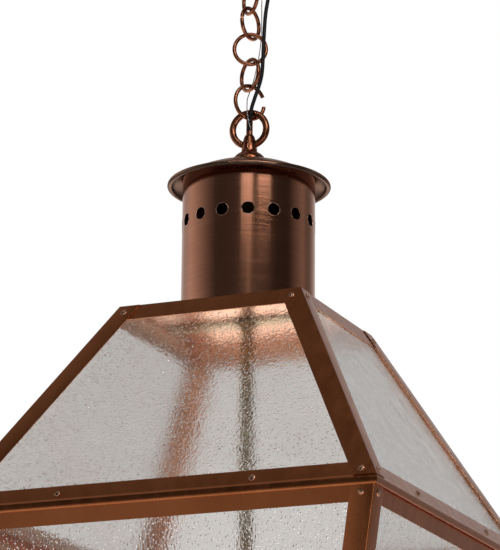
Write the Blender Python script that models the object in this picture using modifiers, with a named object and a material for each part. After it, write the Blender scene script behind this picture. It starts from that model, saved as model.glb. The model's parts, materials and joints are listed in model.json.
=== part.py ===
"""A square hanging lantern of riveted copper strip and seeded glass.

It hangs from a ceiling canopy on a chain of round rings.  A turned hub with a
ring carries a central stem, and the stem carries the glazed frame and a
cluster of three candle lamps.  Metres, +Z up.  The origin is the middle of
the ceiling face, the lantern's front faces -Y and its right side faces +X.
"""
import math

import bmesh
import bpy
from mathutils import Matrix, Vector

# ---------------------------------------------------------------- driving sizes
GAP = 0.0003                # daylight left between pieces that touch
CHAIN_GAP = 0.0004          # and between one ring of the chain and the next
HANGING_GAP = 0.0007        # the lowest pair cross at 42 degrees, so they are set a little further apart
SHEET = 0.0012              # copper sheet
GLASS = 0.003               # seeded glass

CANOPY_RADIUS = 0.070
CANOPY_DEPTH = 0.034
STRAP_LENGTH = 0.110
STRAP_WIDTH = 0.022
STRAP_THICK = 0.0025
NIPPLE_RADIUS = 0.0049
NIPPLE_BORE = 0.0033

CANOPY_RING_RADIUS = 0.0185     # to the middle of the stock
CANOPY_RING_STOCK = 0.0035
CANOPY_RING_Z = -0.066
LINK_RADIUS = 0.0226
LINK_STOCK = 0.0029
FIRST_LINK_HALF_HEIGHT = 0.0246  # the lowest ring is sprung open and a little longer
HANGING_RING_RADIUS = 0.02445
HANGING_RING_STOCK = 0.0048

# plan angle of each ring's plane, from the ceiling down
CANOPY_RING_TURN = -30
LINK_TURNS = {6: 50, 5: -41, 4: 81, 3: 23, 2: -35, 1: 50}
HANGING_RING_TURN = 8

RING_ABOVE_ROOF = 0.2810        # middle of the hanging ring, over the roof's top plate
FLUE_RADIUS = 0.024         # the hole in the top plate round the stem, where hot air goes up
ROOF_TOP_HALF = 0.1334
EAVE_HALF = 0.305
ROOF_RISE = 0.302
BODY_TOP_HALF = 0.3014
BODY_TOP_DROP = 0.306           # under the top plate
BODY_BOTTOM_HALF = 0.190
BODY_BOTTOM_DROP = 0.779
RAIL_HEIGHT = 0.027
STRIP_WIDTH = 0.0255
HIP_WIDTH = 0.0312              # measured level, 28 mm across the slope
POST_WIDTH = 0.032
POST_THICK = 0.0015

CHIMNEY_RADIUS = 0.093
CHIMNEY_HEIGHT = 0.2035
VENT_RADIUS = 0.009
VENT_HEIGHT = 0.1363
VENT_COUNT = 16
CAP_RADIUS = 0.1113             # to the middle of the rolled rim
CAP_ROLL = 0.0035
CAP_RIM_HEIGHT = 0.1955
CAP_CROWN_HEIGHT = 0.2313
CAP_CURVE = 2.9                 # drop of the dome per radius squared, 1/m

STEM_RADIUS = 0.00855
STEM_BOTTOM_DROP = 0.640
CORD_RADIUS = 0.00275
GROUND_RADIUS = 0.0007
WIRE_BORE = 0.0046

LAMP_COUNT = 3
LAMP_CIRCLE = 0.062
CLUSTER_RADIUS = 0.092
SLEEVE_RADIUS = 0.0125
SLEEVE_HEIGHT = 0.100
SOCKET_RADIUS = 0.0095
SOCKET_HEIGHT = 0.085
BULB_RADIUS = 0.0175

DOOR_GAP = 0.0015
DOOR_STRIP = 0.022
DOOR_THICK = 0.003
HINGE_PIN_LEVEL = 0.0045        # pin centre, out from the face of the door
KNUCKLE_RADIUS = 0.0040
KNUCKLE_BORE = 0.0022
PIN_RADIUS = 0.0018
HINGE_LENGTH = 0.040
LEAF_WIDTH = 0.018
LEAF_THICK = 0.0014
HINGE_SETBACK = 0.085           # hinge middle, in from the door's end

# ---------------------------------------------------------------- heights of the chain, worked down


def hang(upper_stock_z, upper_stock, lower_stock, lower_radius, gap=CHAIN_GAP):
    """Middle height of a ring whose top rests on the stock at upper_stock_z."""
    return upper_stock_z + upper_stock + lower_stock + gap - lower_radius


def chain_heights():
    """Middle height of each link, and then of the hanging ring, from the canopy down."""
    links = {}
    rest, stock = CANOPY_RING_Z - CANOPY_RING_RADIUS, CANOPY_RING_STOCK
    for n in sorted(LINK_TURNS, reverse=True):
        half = FIRST_LINK_HALF_HEIGHT if n == 1 else LINK_RADIUS
        links[n] = hang(rest, stock, LINK_STOCK, half)
        rest, stock = links[n] - half, LINK_STOCK
    return links, hang(rest, LINK_STOCK, HANGING_RING_STOCK, HANGING_RING_RADIUS, HANGING_GAP)


LINK_Z, HANGING_RING_Z = chain_heights()
ROOF_Z = HANGING_RING_Z - RING_ABOVE_ROOF
EAVE_Z = ROOF_Z - ROOF_RISE
BODY_TOP_Z = ROOF_Z - BODY_TOP_DROP
BODY_BOTTOM_Z = ROOF_Z - BODY_BOTTOM_DROP

FACES = {"front": 0, "right": 90, "back": 180, "left": 270}
CORNERS = {"front_right": 0, "back_right": 90, "back_left": 180, "front_left": 270}
DOOR_FACE = "left"

# ---------------------------------------------------------------- scene, materials, helpers

for old in list(bpy.data.objects):
    bpy.data.objects.remove(old, do_unlink=True)


def new_collection(name):
    made = bpy.data.collections.new(name)
    bpy.context.scene.collection.children.link(made)
    return made


PARTS = new_collection("hanging_lantern")
CUTTERS = new_collection("cutters")


def new_material(name, colour, roughness, metallic, transmission=0.0):
    made = bpy.data.materials.new(name)
    made.use_nodes = True
    shader = made.node_tree.nodes["Principled BSDF"]
    shader.inputs["Base Color"].default_value = (*colour, 1)
    shader.inputs["Roughness"].default_value = roughness
    shader.inputs["Metallic"].default_value = metallic
    shader.inputs["Transmission Weight"].default_value = transmission
    return made


COPPER = new_material("antique_copper", (0.36, 0.13, 0.07), 0.35, 1.0)
BRUSHED = new_material("brushed_copper", (0.62, 0.28, 0.18), 0.30, 1.0)
CHAIN = new_material("chain_copper", (0.45, 0.19, 0.10), 0.25, 1.0)
BRASS = new_material("aged_brass", (0.42, 0.32, 0.14), 0.35, 1.0)
STEEL = new_material("plated_steel", (0.60, 0.60, 0.60), 0.35, 1.0)
CLEAR = new_material("seeded_glass", (0.90, 0.91, 0.90), 0.05, 0.0, 0.9)
BLACK = new_material("black_cord", (0.02, 0.02, 0.02), 0.5, 0.0)
IVORY = new_material("ivory_sleeve", (0.85, 0.80, 0.66), 0.5, 0.0)
PHENOLIC = new_material("phenolic", (0.03, 0.03, 0.03), 0.4, 0.0)


def finish(thing, name, material, smooth=35):
    """Name an object, give it its material and file it with the parts."""
    thing.name = name
    thing.data.name = name
    thing.data.materials.clear()
    thing.data.materials.append(material)
    file_under(thing, PARTS)
    if thing.type == "MESH" and len(thing.data.polygons):
        thing.data.shade_smooth()
        thing.data.set_sharp_from_angle(angle=math.radians(smooth))
    return thing


def file_under(thing, collection):
    for was in list(thing.users_collection):
        was.objects.unlink(thing)
    collection.objects.link(thing)


def as_cutter(thing, name):
    thing.name = name
    thing.hide_render = True
    thing.display_type = "WIRE"
    file_under(thing, CUTTERS)
    return thing


def combine(target, tool, operation):
    step = target.modifiers.new(operation.lower(), "BOOLEAN")
    step.operation = operation
    step.object = tool
    step.solver = "EXACT"


def mesh_object(bm, name):
    bmesh.ops.recalc_face_normals(bm, faces=bm.faces[:])
    mesh = bpy.data.meshes.new(name)
    bm.to_mesh(mesh)
    bm.free()
    made = bpy.data.objects.new(name, mesh)
    PARTS.objects.link(made)
    return made


def turned(profile, steps, closed=True):
    """Turn (radius, height) points, which run down the outer side, about Z."""
    mesh = bpy.data.meshes.new("profile")
    edges = [(i, i + 1) for i in range(len(profile) - 1)]
    if closed:
        edges.append((len(profile) - 1, 0))
    mesh.from_pydata([(r, 0, z) for r, z in profile], edges, [])
    made = bpy.data.objects.new("turned", mesh)
    PARTS.objects.link(made)
    screw = made.modifiers.new("turn", "SCREW")
    screw.axis = "Z"
    screw.steps = screw.render_steps = steps
    screw.use_merge_vertices = True
    screw.merge_threshold = 0.00001
    screw.use_smooth_shade = steps > 6
    return made


def square_ring(profile):
    """A mitred square frame: (half side, height) points turned in four steps."""
    made = turned([(half * math.sqrt(2), z) for half, z in profile], 4)
    made.rotation_euler.z = math.radians(45)
    return made


def box(size, middle, matrix=None):
    bpy.ops.mesh.primitive_cube_add(size=1)
    made = bpy.context.object
    made.data.transform(Matrix.Translation(middle) @ Matrix.Diagonal((*size, 1)))
    if matrix is not None:
        made.matrix_world = matrix
    return made


def cylinder(radius, length, sides=24, matrix=None):
    bpy.ops.mesh.primitive_cylinder_add(vertices=sides, radius=radius, depth=length)
    made = bpy.context.object
    if matrix is not None:
        made.matrix_world = matrix
    return made


def upright_ring(radius, stock, z, turn, around=20, across=8):
    """A closed ring of round stock standing in a vertical plane."""
    bpy.ops.mesh.primitive_torus_add(
        major_segments=around, minor_segments=across, major_radius=radius, minor_radius=stock
    )
    made = bpy.context.object
    made.rotation_euler = (math.radians(90), 0, math.radians(turn))
    made.location.z = z
    return made


def tube(points, radius):
    """Round stock or cord along a list of points."""
    curve = bpy.data.curves.new("tube", "CURVE")
    curve.dimensions = "3D"
    curve.bevel_depth = radius
    curve.bevel_resolution = 2
    curve.use_fill_caps = True
    spline = curve.splines.new("POLY")
    spline.points.add(len(points) - 1)
    for knot, place in zip(spline.points, points):
        knot.co = (*place, 1)
    made = bpy.data.objects.new("tube", curve)
    PARTS.objects.link(made)
    return made


def smooth_route(route, per_span):
    """Points along a smooth curve through a hand-made route."""
    points = [Vector(p) for p in route]
    padded = [2 * points[0] - points[1], *points, 2 * points[-1] - points[-2]]
    made = []
    for a, b, c, d in zip(padded, padded[1:], padded[2:], padded[3:]):
        for k in range(per_span):
            t = k / per_span
            made.append(
                0.5 * (2 * b + (c - a) * t + (2 * a - 5 * b + 4 * c - d) * t**2
                       + (3 * b - a - 3 * c + d) * t**3)
            )
    made.append(points[-1])
    return made


def prism(outline, vector, name):
    """A flat outline pushed along a vector."""
    bm = bmesh.new()
    face = bm.faces.new([bm.verts.new(p) for p in outline])
    pushed = bmesh.ops.extrude_face_region(bm, geom=[face])["geom"]
    bmesh.ops.translate(bm, vec=vector, verts=[v for v in pushed if isinstance(v, bmesh.types.BMVert)])
    return mesh_object(bm, name)


class Face:
    """One sloping side of the lantern: its axes are X level, Y up the slope and Z outwards."""

    def __init__(self, top_half, top_z, bottom_half, bottom_z, turn=0):
        self.top_half, self.bottom_half = top_half, bottom_half
        down = Vector((0, top_half - bottom_half, bottom_z - top_z))
        self.slope = down.length
        level, up = Vector((1, 0, 0)), -down.normalized()
        axes = Matrix((level, up, level.cross(up))).transposed().to_4x4()
        self.front = Matrix.Translation((0, -top_half, top_z)) @ axes
        self.matrix = Matrix.Rotation(math.radians(turn), 4, "Z") @ self.front

    def half(self, s):
        """Half width of the face at a distance s down its slope."""
        return self.top_half + (self.bottom_half - self.top_half) * s / self.slope

    def section(self, s, level):
        """(half side, height) at a distance s down the slope, at a level out from the face."""
        place = self.front @ Vector((0, -s, level))
        return -place.y, place.z

    def outline(self, s0, s1, inset):
        return [
            (-self.half(s0) + inset, -s0), (self.half(s0) - inset, -s0),
            (self.half(s1) - inset, -s1), (-self.half(s1) + inset, -s1),
        ]

    def plate(self, outlines, outer_level, thickness):
        """Flat sheet on the face; a second outline is a hole through it."""
        curve = bpy.data.curves.new("plate", "CURVE")
        curve.dimensions = "2D"
        curve.fill_mode = "BOTH"
        curve.extrude = thickness / 2
        for outline in outlines:
            spline = curve.splines.new("POLY")
            spline.points.add(len(outline) - 1)
            for knot, (u, v) in zip(spline.points, outline):
                knot.co = (u, v, 0, 1)
            spline.use_cyclic_u = True
        made = bpy.data.objects.new("plate", curve)
        PARTS.objects.link(made)
        made.matrix_world = self.matrix @ Matrix.Translation((0, 0, outer_level - thickness / 2))
        return made


def roof_face(name):
    return Face(ROOF_TOP_HALF, ROOF_Z, EAVE_HALF, EAVE_Z, FACES[name])


def body_face(name):
    return Face(BODY_TOP_HALF, BODY_TOP_Z, BODY_BOTTOM_HALF, BODY_BOTTOM_Z, FACES[name])


# layers of a face, measured outwards from its outermost copper
UNDER_HIP = -(SHEET + GAP)
UNDER_POST = -(POST_THICK + GAP)
ROOF_GLASS_LEVEL = UNDER_HIP - SHEET - GAP
BODY_GLASS_LEVEL = UNDER_POST - SHEET - GAP

# ---------------------------------------------------------------- canopy and chain


def ring_with_hub(name, radius, stock, z, turn, hub_profile, bore, material):
    """A hanging ring fused to a turned hub that is bored for the wires."""
    ring = upright_ring(radius, stock, z, turn, 24, 10)
    hub = as_cutter(turned(hub_profile, 24, closed=False), name + "_hub")
    hole = as_cutter(turned(bore, 16, closed=False), name + "_bore")
    combine(ring, hub, "UNION")
    combine(ring, hole, "DIFFERENCE")
    return finish(ring, name, material)


def make_canopy():
    bore = NIPPLE_RADIUS + 0.0006
    crown, rim = 0.016, CANOPY_RADIUS - 0.0044
    rim_z = -0.006
    quarter = [math.radians(90 * k / 5) for k in range(6)]

    def bowl(shrink):
        width, rise = rim - crown - shrink, CANOPY_DEPTH + rim_z - shrink
        return [(crown + width * math.cos(t), rim_z - rise * math.sin(t))
                for t in quarter]

    lip = [(rim - SHEET, 0), (CANOPY_RADIUS - 0.001, 0), (CANOPY_RADIUS, -0.0022),
           (CANOPY_RADIUS - 0.001, -0.0044)]
    profile = [*lip, *bowl(0), (bore, -CANOPY_DEPTH), (bore, -CANOPY_DEPTH + SHEET), *reversed(bowl(SHEET))]
    finish(turned(profile, 32), "canopy", COPPER)

    strap = box((STRAP_LENGTH, STRAP_WIDTH, STRAP_THICK), (0, 0, -STRAP_THICK / 2))
    combine(strap, as_cutter(cylinder(NIPPLE_RADIUS + 0.0004, 0.02), "strap_hole"), "DIFFERENCE")
    for side in (-1, 1):
        slot = box((0.018, 0.005, 0.02), (side * 0.041, 0, 0))
        combine(strap, as_cutter(slot, "strap_slot"), "DIFFERENCE")
    finish(strap, "ceiling_strap", STEEL)

    nipple_top, nipple_bottom = -GAP, CANOPY_RING_Z + CANOPY_RING_RADIUS + 0.0005
    finish(turned([(NIPPLE_BORE, nipple_top), (NIPPLE_RADIUS, nipple_top),
                   (NIPPLE_RADIUS, nipple_bottom), (NIPPLE_BORE, nipple_bottom)], 20),
           "canopy_nipple", STEEL)

    nut = cylinder(0.0085, 0.0045, 6)
    nut.location.z = -STRAP_THICK - GAP - 0.0045 / 2
    hole = cylinder(NIPPLE_RADIUS + 0.0004, 0.02)
    combine(nut, as_cutter(hole, "nut_hole"), "DIFFERENCE")
    finish(nut, "strap_nut", STEEL)

    top = -CANOPY_DEPTH - GAP
    waist = CANOPY_RING_Z + CANOPY_RING_RADIUS
    hub = [(0, top), (0.0150, top), (0.0155, top - 0.003), (0.0120, top - 0.005), (0.0088, top - 0.0065),
           (0.0085, waist - 0.002), (0.0072, waist - 0.005), (0.0058, waist - 0.0068), (0, waist - 0.0068)]
    bore = [(0, 0.01), (NIPPLE_RADIUS + 0.0004, 0.01), (NIPPLE_RADIUS + 0.0004, waist + 0.0001),
            (WIRE_BORE, waist - 0.0004), (WIRE_BORE, waist - 0.012), (0, waist - 0.012)]
    ring_with_hub("canopy_loop", CANOPY_RING_RADIUS, CANOPY_RING_STOCK, CANOPY_RING_Z,
                  CANOPY_RING_TURN, hub, bore, CHAIN)


def arc_ring(half_width, half_height, z, turn, start, end, steps=32):
    """Points of an open ring, from one cut end round to the other."""
    level = Vector((math.cos(math.radians(turn)), math.sin(math.radians(turn)), 0))
    made = []
    for k in range(steps + 1):
        t = math.radians(start + (end - start) * k / steps)
        made.append(level * half_width * math.cos(t) + Vector((0, 0, z + half_height * math.sin(t))))
    return made


def make_chain():
    sprung = arc_ring(LINK_RADIUS, FIRST_LINK_HALF_HEIGHT, LINK_Z[1], LINK_TURNS[1], 25, 351.67)
    finish(tube(sprung, LINK_STOCK), "chain_link_1", CHAIN)
    parted = arc_ring(LINK_RADIUS, LINK_RADIUS, LINK_Z[4], LINK_TURNS[4], 178, 532)
    finish(tube(parted, LINK_STOCK), "chain_link_4", CHAIN)
    for n in (2, 3, 5, 6):
        ring = upright_ring(LINK_RADIUS, LINK_STOCK, LINK_Z[n], LINK_TURNS[n])
        finish(ring, f"chain_link_{n}", CHAIN)


# routes in front of and beside the chain: (right, towards the viewer, above the roof's top plate),
# in millimetres, seen from 23 degrees to the right of the front
VIEW_TURN = 23.27
CORD_ROUTE = [
    (-1.2, 0.1, 569.0), (0.2, 0.9, 562.0), (4.4, 2.8, 553.0), (10.8, 5.0, 542.5), (17.8, 6.6, 530.0),
    (24.0, 7.6, 514.0), (26.8, 8.2, 496.0), (24.8, 8.2, 476.0), (21.4, 8.2, 452.0), (19.6, 8.2, 424.0),
    (18.8, 8.4, 403.0), (18.2, 8.6, 384.0), (16.8, 8.4, 362.0), (13.2, 8.4, 345.0), (7.4, 9.6, 326.0), (3.0, 10.0, 311.0),
    (1.4, 9.2, 300.0), (0.2, 6.4, 290.0), (-0.8, 2.8, 280.5), (-1.2, 0.6, 272.5), (-1.2, 0.0, 266.0),
]
GROUND_ROUTE = [
    (2.8, -0.3, 570.0), (4.4, -0.8, 561.0), (8.6, 0.2, 546.5), (12.0, 1.2, 530.0), (14.4, 1.5, 512.0),
    (15.6, 0.0, 492.0), (15.9, -2.0, 470.0), (16.0, -4.0, 448.0), (15.7, -5.2, 424.0), (14.4, -5.4, 408.0),
    (13.0, -5.8, 396.0), (11.0, -6.6, 385.0), (6.4, -7.6, 362.0), (0.6, -8.0, 342.0), (-3.2, -4.6, 329.0),
    (-3.8, 1.8, 319.0), (-3.8, 7.4, 309.5), (-3.2, 10.0, 300.0), (-1.4, 10.9, 290.5), (0.9, 7.9, 282.5),
    (2.4, 3.8, 276.5), (2.9, 0.9, 271.5), (2.9, 0.0, 266.0),
]


def world_route(route):
    turn = math.radians(VIEW_TURN)
    right = Vector((math.cos(turn), math.sin(turn), 0))
    near = Vector((math.sin(turn), -math.cos(turn), 0))
    return [(right * r + near * n + Vector((0, 0, h))) / 1000 + Vector((0, 0, ROOF_Z)) for r, n, h in route]


def make_wires():
    finish(tube(smooth_route(world_route(CORD_ROUTE), 2), CORD_RADIUS), "supply_cord", BLACK)
    finish(tube(smooth_route(world_route(GROUND_ROUTE), 2), GROUND_RADIUS), "ground_wire", STEEL)


# ---------------------------------------------------------------- hub, cap, chimney, stem


def above_roof(profile):
    return [(r, ROOF_Z + h) for r, h in profile]


def cap_height(radius):
    return CAP_CROWN_HEIGHT - CAP_CURVE * radius**2


def make_hanging_ring():
    foot = CAP_CROWN_HEIGHT + GAP
    hub = above_roof([
        (0, 0.2723), (0.0058, 0.2723), (0.0076, 0.2690), (0.0088, 0.2645), (0.0102, 0.2575), (0.0111, 0.2510),
        (0.0112, 0.2480), (0.0130, 0.2455), (0.0172, 0.2430), (0.0205, 0.2400), (0.0228, 0.2365),
        (0.0232, foot), (0, foot),
    ])
    seat = 0.2398
    bore = above_roof([
        (0, 0.300), (WIRE_BORE, 0.300), (WIRE_BORE, seat + 0.0005), (STEM_RADIUS + 0.0005, seat),
        (STEM_RADIUS + 0.0005, foot - 0.01), (0, foot - 0.01),
    ])
    ring_with_hub("hanging_ring", HANGING_RING_RADIUS, HANGING_RING_STOCK, HANGING_RING_Z,
                  HANGING_RING_TURN, hub, bore, CHAIN)


def make_cap():
    bore = STEM_RADIUS + 0.0006
    radii = [bore, 0.035, 0.062, 0.087, 0.1065]
    outside = [(r, cap_height(r)) for r in radii]
    inside = [(r, cap_height(r) - SHEET) for r in reversed(radii)]
    roll = []
    for k in range(7):
        t = math.radians(115 - k * 300 / 6)
        roll.append((CAP_RADIUS + CAP_ROLL * math.cos(t), CAP_RIM_HEIGHT + CAP_ROLL * math.sin(t)))
    finish(turned(above_roof([*outside, *roll, *inside]), 40), "cap", BRUSHED)


def make_chimney():
    inside = CHIMNEY_RADIUS - SHEET
    wall = [(inside, CHIMNEY_HEIGHT), (CHIMNEY_RADIUS, CHIMNEY_HEIGHT), (CHIMNEY_RADIUS, GAP), (inside, GAP)]
    chimney = turned(above_roof(wall), 48)
    bm = bmesh.new()
    for k in range(VENT_COUNT):
        turn = Matrix.Rotation(2 * math.pi * k / VENT_COUNT, 4, "Z")
        place = Matrix.Translation((CHIMNEY_RADIUS, 0, ROOF_Z + VENT_HEIGHT))
        lie = Matrix.Rotation(math.radians(90), 4, "Y")
        bmesh.ops.create_cone(bm, cap_ends=True, segments=12, radius1=VENT_RADIUS, radius2=VENT_RADIUS,
                              depth=0.03, matrix=turn @ place @ lie)
    combine(chimney, as_cutter(mesh_object(bm, "vents"), "vent_cutters"), "DIFFERENCE")
    finish(chimney, "chimney", BRUSHED)


def make_stem():
    bore = 0.0060
    top, bottom = 0.2392, -STEM_BOTTOM_DROP
    finish(turned(above_roof([(bore, top), (STEM_RADIUS, top), (STEM_RADIUS, bottom), (bore, bottom)]), 20),
           "stem", BRASS)
    bar_thick = 0.004
    bar_top = ROOF_Z - SHEET - GAP
    bar = box((0.236, 0.025, bar_thick), (0, 0, bar_top - bar_thick / 2))
    hole = cylinder(STEM_RADIUS + 0.0005, 0.03)
    hole.location.z = bar_top
    combine(bar, as_cutter(hole, "bar_hole"), "DIFFERENCE")
    finish(bar, "support_bar", BRASS)
    nut_thick = 0.006
    nut = cylinder(0.0145, nut_thick, 6)
    nut.location.z = bar_top - bar_thick - GAP - nut_thick / 2
    hole = cylinder(STEM_RADIUS + 0.0005, 0.03)
    hole.location.z = nut.location.z
    combine(nut, as_cutter(hole, "stem_nut_hole"), "DIFFERENCE")
    finish(nut, "stem_nut", BRASS)


# ---------------------------------------------------------------- roof


def make_roof():
    face = roof_face("front")
    edge_half = face.section(0, UNDER_HIP)[0]
    apron_top = (edge_half - 0.0004, ROOF_Z)
    plate = [
        (0, ROOF_Z), apron_top, face.section(0.0015, UNDER_HIP), face.section(STRIP_WIDTH, UNDER_HIP),
        face.section(STRIP_WIDTH, UNDER_HIP - SHEET), face.section(0.004, UNDER_HIP - SHEET),
        (face.section(0.004, UNDER_HIP - SHEET)[0] - 0.003, ROOF_Z - SHEET), (0, ROOF_Z - SHEET),
    ]
    top = turned([(half * math.sqrt(2), z) for half, z in plate], 4, closed=False)
    top.rotation_euler.z = math.radians(45)
    hole = cylinder(FLUE_RADIUS, 0.05, 24)
    hole.location.z = ROOF_Z
    combine(top, as_cutter(hole, "flue_hole"), "DIFFERENCE")
    finish(top, "top_plate", COPPER)

    for name in FACES:
        face = roof_face(name)
        pane = face.plate([face.outline(0.012, face.slope - 0.008, 0.012)], ROOF_GLASS_LEVEL, GLASS)
        finish(pane, f"roof_glass_{name}", CLEAR)
        make_eave_strip(name)
    thick = SHEET / math.cos(math.atan2(EAVE_HALF - ROOF_TOP_HALF, ROOF_RISE))
    foot_z = EAVE_Z + 0.0015
    foot_half = ROOF_TOP_HALF + (EAVE_HALF - ROOF_TOP_HALF) * (ROOF_Z - foot_z) / ROOF_RISE
    for name, turn in CORNERS.items():
        corner_angle(f"hip_strip_{name}", HIP_WIDTH, thick, (foot_half, foot_z), (ROOF_TOP_HALF, ROOF_Z), turn)


def corner_angle(name, width, thick, bottom, top, turn):
    """Folded angle up a corner: a level L section pushed along the corner's slope."""
    (half, low), (top_half, high) = bottom, top
    section = [(0, 0), (0, width), (-thick, width), (-thick, thick), (-width, thick), (-width, 0)]
    outline = [(half + x, -half + y, low) for x, y in section]
    made = prism(outline, (top_half - half, half - top_half, high - low), name)
    made.rotation_euler.z = math.radians(turn)
    return finish(made, name, COPPER)


def make_eave_strip(name):
    """A strip along the eave, folded down into a rolled drip edge, with mitred ends."""
    face = roof_face("front")
    start = face.slope - STRIP_WIDTH
    roll_out, roll_in = EAVE_HALF + 0.0002, BODY_TOP_HALF + 0.0007
    top_z, bottom_z = EAVE_Z - 0.0008, EAVE_Z - 0.0108
    outline = [
        face.section(start, UNDER_HIP), face.section(face.slope - 0.003, UNDER_HIP),
        (roll_out - 0.0008, top_z), (roll_out, top_z - 0.002), (roll_out, bottom_z + 0.003),
        (roll_out - 0.0009, bottom_z + 0.0009), (roll_out - 0.0020, bottom_z), (roll_in, bottom_z + 0.0004),
        (roll_in, top_z - 0.0025), face.section(face.slope - 0.004, UNDER_HIP - SHEET),
        face.section(start, UNDER_HIP - SHEET),
    ]
    bm = bmesh.new()
    end = bm.faces.new([bm.verts.new((-half + GAP, -half, z)) for half, z in outline])
    pushed = bmesh.ops.extrude_face_region(bm, geom=[end])["geom"]
    for vert in (v for v in pushed if isinstance(v, bmesh.types.BMVert)):
        vert.co.x = -vert.co.x
    strip = mesh_object(bm, "eave")
    strip.rotation_euler.z = math.radians(FACES[name])
    finish(strip, f"eave_strip_{name}", COPPER)


# ---------------------------------------------------------------- body


def make_body():
    for name, turn in CORNERS.items():
        corner_angle(f"corner_post_{name}", POST_WIDTH, POST_THICK, (BODY_BOTTOM_HALF, BODY_BOTTOM_Z),
                     (BODY_TOP_HALF, BODY_TOP_Z), turn)
    face = body_face("front")
    deep = UNDER_POST - SHEET
    flange = 0.014
    top_outer, top_inner = face.section(0, UNDER_POST), face.section(SHEET, deep)
    top_profile = [
        (top_outer[0] - flange, BODY_TOP_Z), top_outer, face.section(RAIL_HEIGHT, UNDER_POST),
        face.section(RAIL_HEIGHT, deep), top_inner, (top_outer[0] - flange, top_inner[1]),
    ]
    finish(square_ring(top_profile), "body_top_frame", COPPER)

    low = face.slope
    bottom_outer = face.section(low, UNDER_POST)
    ledge = 0.020
    bottom_profile = [
        face.section(low - RAIL_HEIGHT, deep), face.section(low - RAIL_HEIGHT, UNDER_POST), bottom_outer,
        (bottom_outer[0] - ledge, bottom_outer[1]), (bottom_outer[0] - ledge, bottom_outer[1] + SHEET),
        (bottom_outer[0] - SHEET * 1.3, bottom_outer[1] + SHEET),
    ]
    finish(square_ring(bottom_profile), "bottom_frame", COPPER)

    half = bottom_outer[0] - 0.006
    pane = box((2 * half, 2 * half, GLASS), (0, 0, bottom_outer[1] + SHEET + GAP + GLASS / 2))
    finish(pane, "bottom_glass", CLEAR)

    for name in FACES:
        if name != DOOR_FACE:
            face = body_face(name)
            pane = face.plate([face.outline(0.012, face.slope - 0.014, 0.012)], BODY_GLASS_LEVEL, GLASS)
            finish(pane, f"body_glass_{name}", CLEAR)


# ---------------------------------------------------------------- door


def door_edges():
    """Slope distances of the door's ends, and how far its sides stand in from the corners."""
    face = body_face(DOOR_FACE)
    return RAIL_HEIGHT + DOOR_GAP, face.slope - RAIL_HEIGHT - DOOR_GAP, POST_WIDTH + DOOR_GAP


def door_frame_at(s, side, inset):
    """Axes on the door's face: X in towards the door from one side edge, Y up that edge, Z out."""
    face = body_face(DOOR_FACE)
    rise = (face.bottom_half - face.top_half) / face.slope
    place = Vector((side * (face.half(s) - inset), -s, 0))
    up = Vector((-side * rise, 1, 0)).normalized()
    out = Vector((0, 0, 1))
    across = up.cross(out)
    axes = Matrix((across, up, out)).transposed().to_4x4()
    return face.matrix @ Matrix.Translation(place) @ axes


def make_door():
    face = body_face(DOOR_FACE)
    s0, s1, inset = door_edges()
    frame = face.plate(
        [face.outline(s0, s1, inset), face.outline(s0 + DOOR_STRIP, s1 - DOOR_STRIP, inset + DOOR_STRIP)],
        0, DOOR_THICK)
    finish(frame, "door_frame", COPPER)
    pane = face.plate([face.outline(s0 + 0.012, s1 - 0.012, inset + 0.012)], -DOOR_THICK - GAP, GLASS)
    finish(pane, "door_glass", CLEAR)
    for name, s in (("upper", s0 + HINGE_SETBACK), ("lower", s1 - HINGE_SETBACK)):
        make_hinge(name, door_frame_at(s, -1, POST_WIDTH + DOOR_GAP / 2))
    make_knob(door_frame_at((s0 + s1) / 2, 1, inset + DOOR_STRIP / 2))
    make_catch(door_frame_at((s0 + s1) / 2, 1, inset))


def lengthwise(matrix, y, level):
    """A cylinder's matrix, laid along Y of the given axes."""
    return matrix @ Matrix.Translation((0, y, level)) @ Matrix.Rotation(math.radians(-90), 4, "X")


def make_hinge(name, axes):
    """A pintle on the post and the knuckle on the door that turns on it."""
    knuckle = HINGE_LENGTH / 2 - GAP
    leaf_middle = GAP + LEAF_THICK / 2
    low, high = -HINGE_LENGTH / 4, HINGE_LENGTH / 4

    post_leaf = box((LEAF_WIDTH, HINGE_LENGTH / 2 - GAP, LEAF_THICK), (-LEAF_WIDTH / 2, low, leaf_middle), axes)
    barrel = cylinder(KNUCKLE_RADIUS, knuckle, 16, lengthwise(axes, low, HINGE_PIN_LEVEL))
    pin = cylinder(PIN_RADIUS, HINGE_LENGTH - 0.004, 12, lengthwise(axes, 0, HINGE_PIN_LEVEL))
    combine(post_leaf, as_cutter(barrel, f"barrel_{name}"), "UNION")
    combine(post_leaf, as_cutter(pin, f"pin_{name}"), "UNION")
    finish(post_leaf, f"hinge_pintle_{name}", BRASS)

    door_leaf = box((LEAF_WIDTH, HINGE_LENGTH / 2 - GAP, LEAF_THICK), (LEAF_WIDTH / 2, high, leaf_middle), axes)
    barrel = cylinder(KNUCKLE_RADIUS, knuckle, 16, lengthwise(axes, high, HINGE_PIN_LEVEL))
    bore = cylinder(KNUCKLE_BORE, HINGE_LENGTH, 16, lengthwise(axes, high, HINGE_PIN_LEVEL))
    combine(door_leaf, as_cutter(barrel, f"door_barrel_{name}"), "UNION")
    combine(door_leaf, as_cutter(bore, f"door_bore_{name}"), "DIFFERENCE")
    finish(door_leaf, f"hinge_knuckle_{name}", BRASS)


def make_knob(axes):
    profile = [(0, 0.0200), (0.0050, 0.0192), (0.0078, 0.0165), (0.0085, 0.0130), (0.0070, 0.0098),
               (0.0040, 0.0078), (0.0036, 0.0040), (0.0075, 0.0022), (0.0080, GAP), (0, GAP)]
    knob = turned(profile, 16, closed=False)
    knob.matrix_world = axes
    finish(knob, "door_knob", BRASS)


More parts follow.
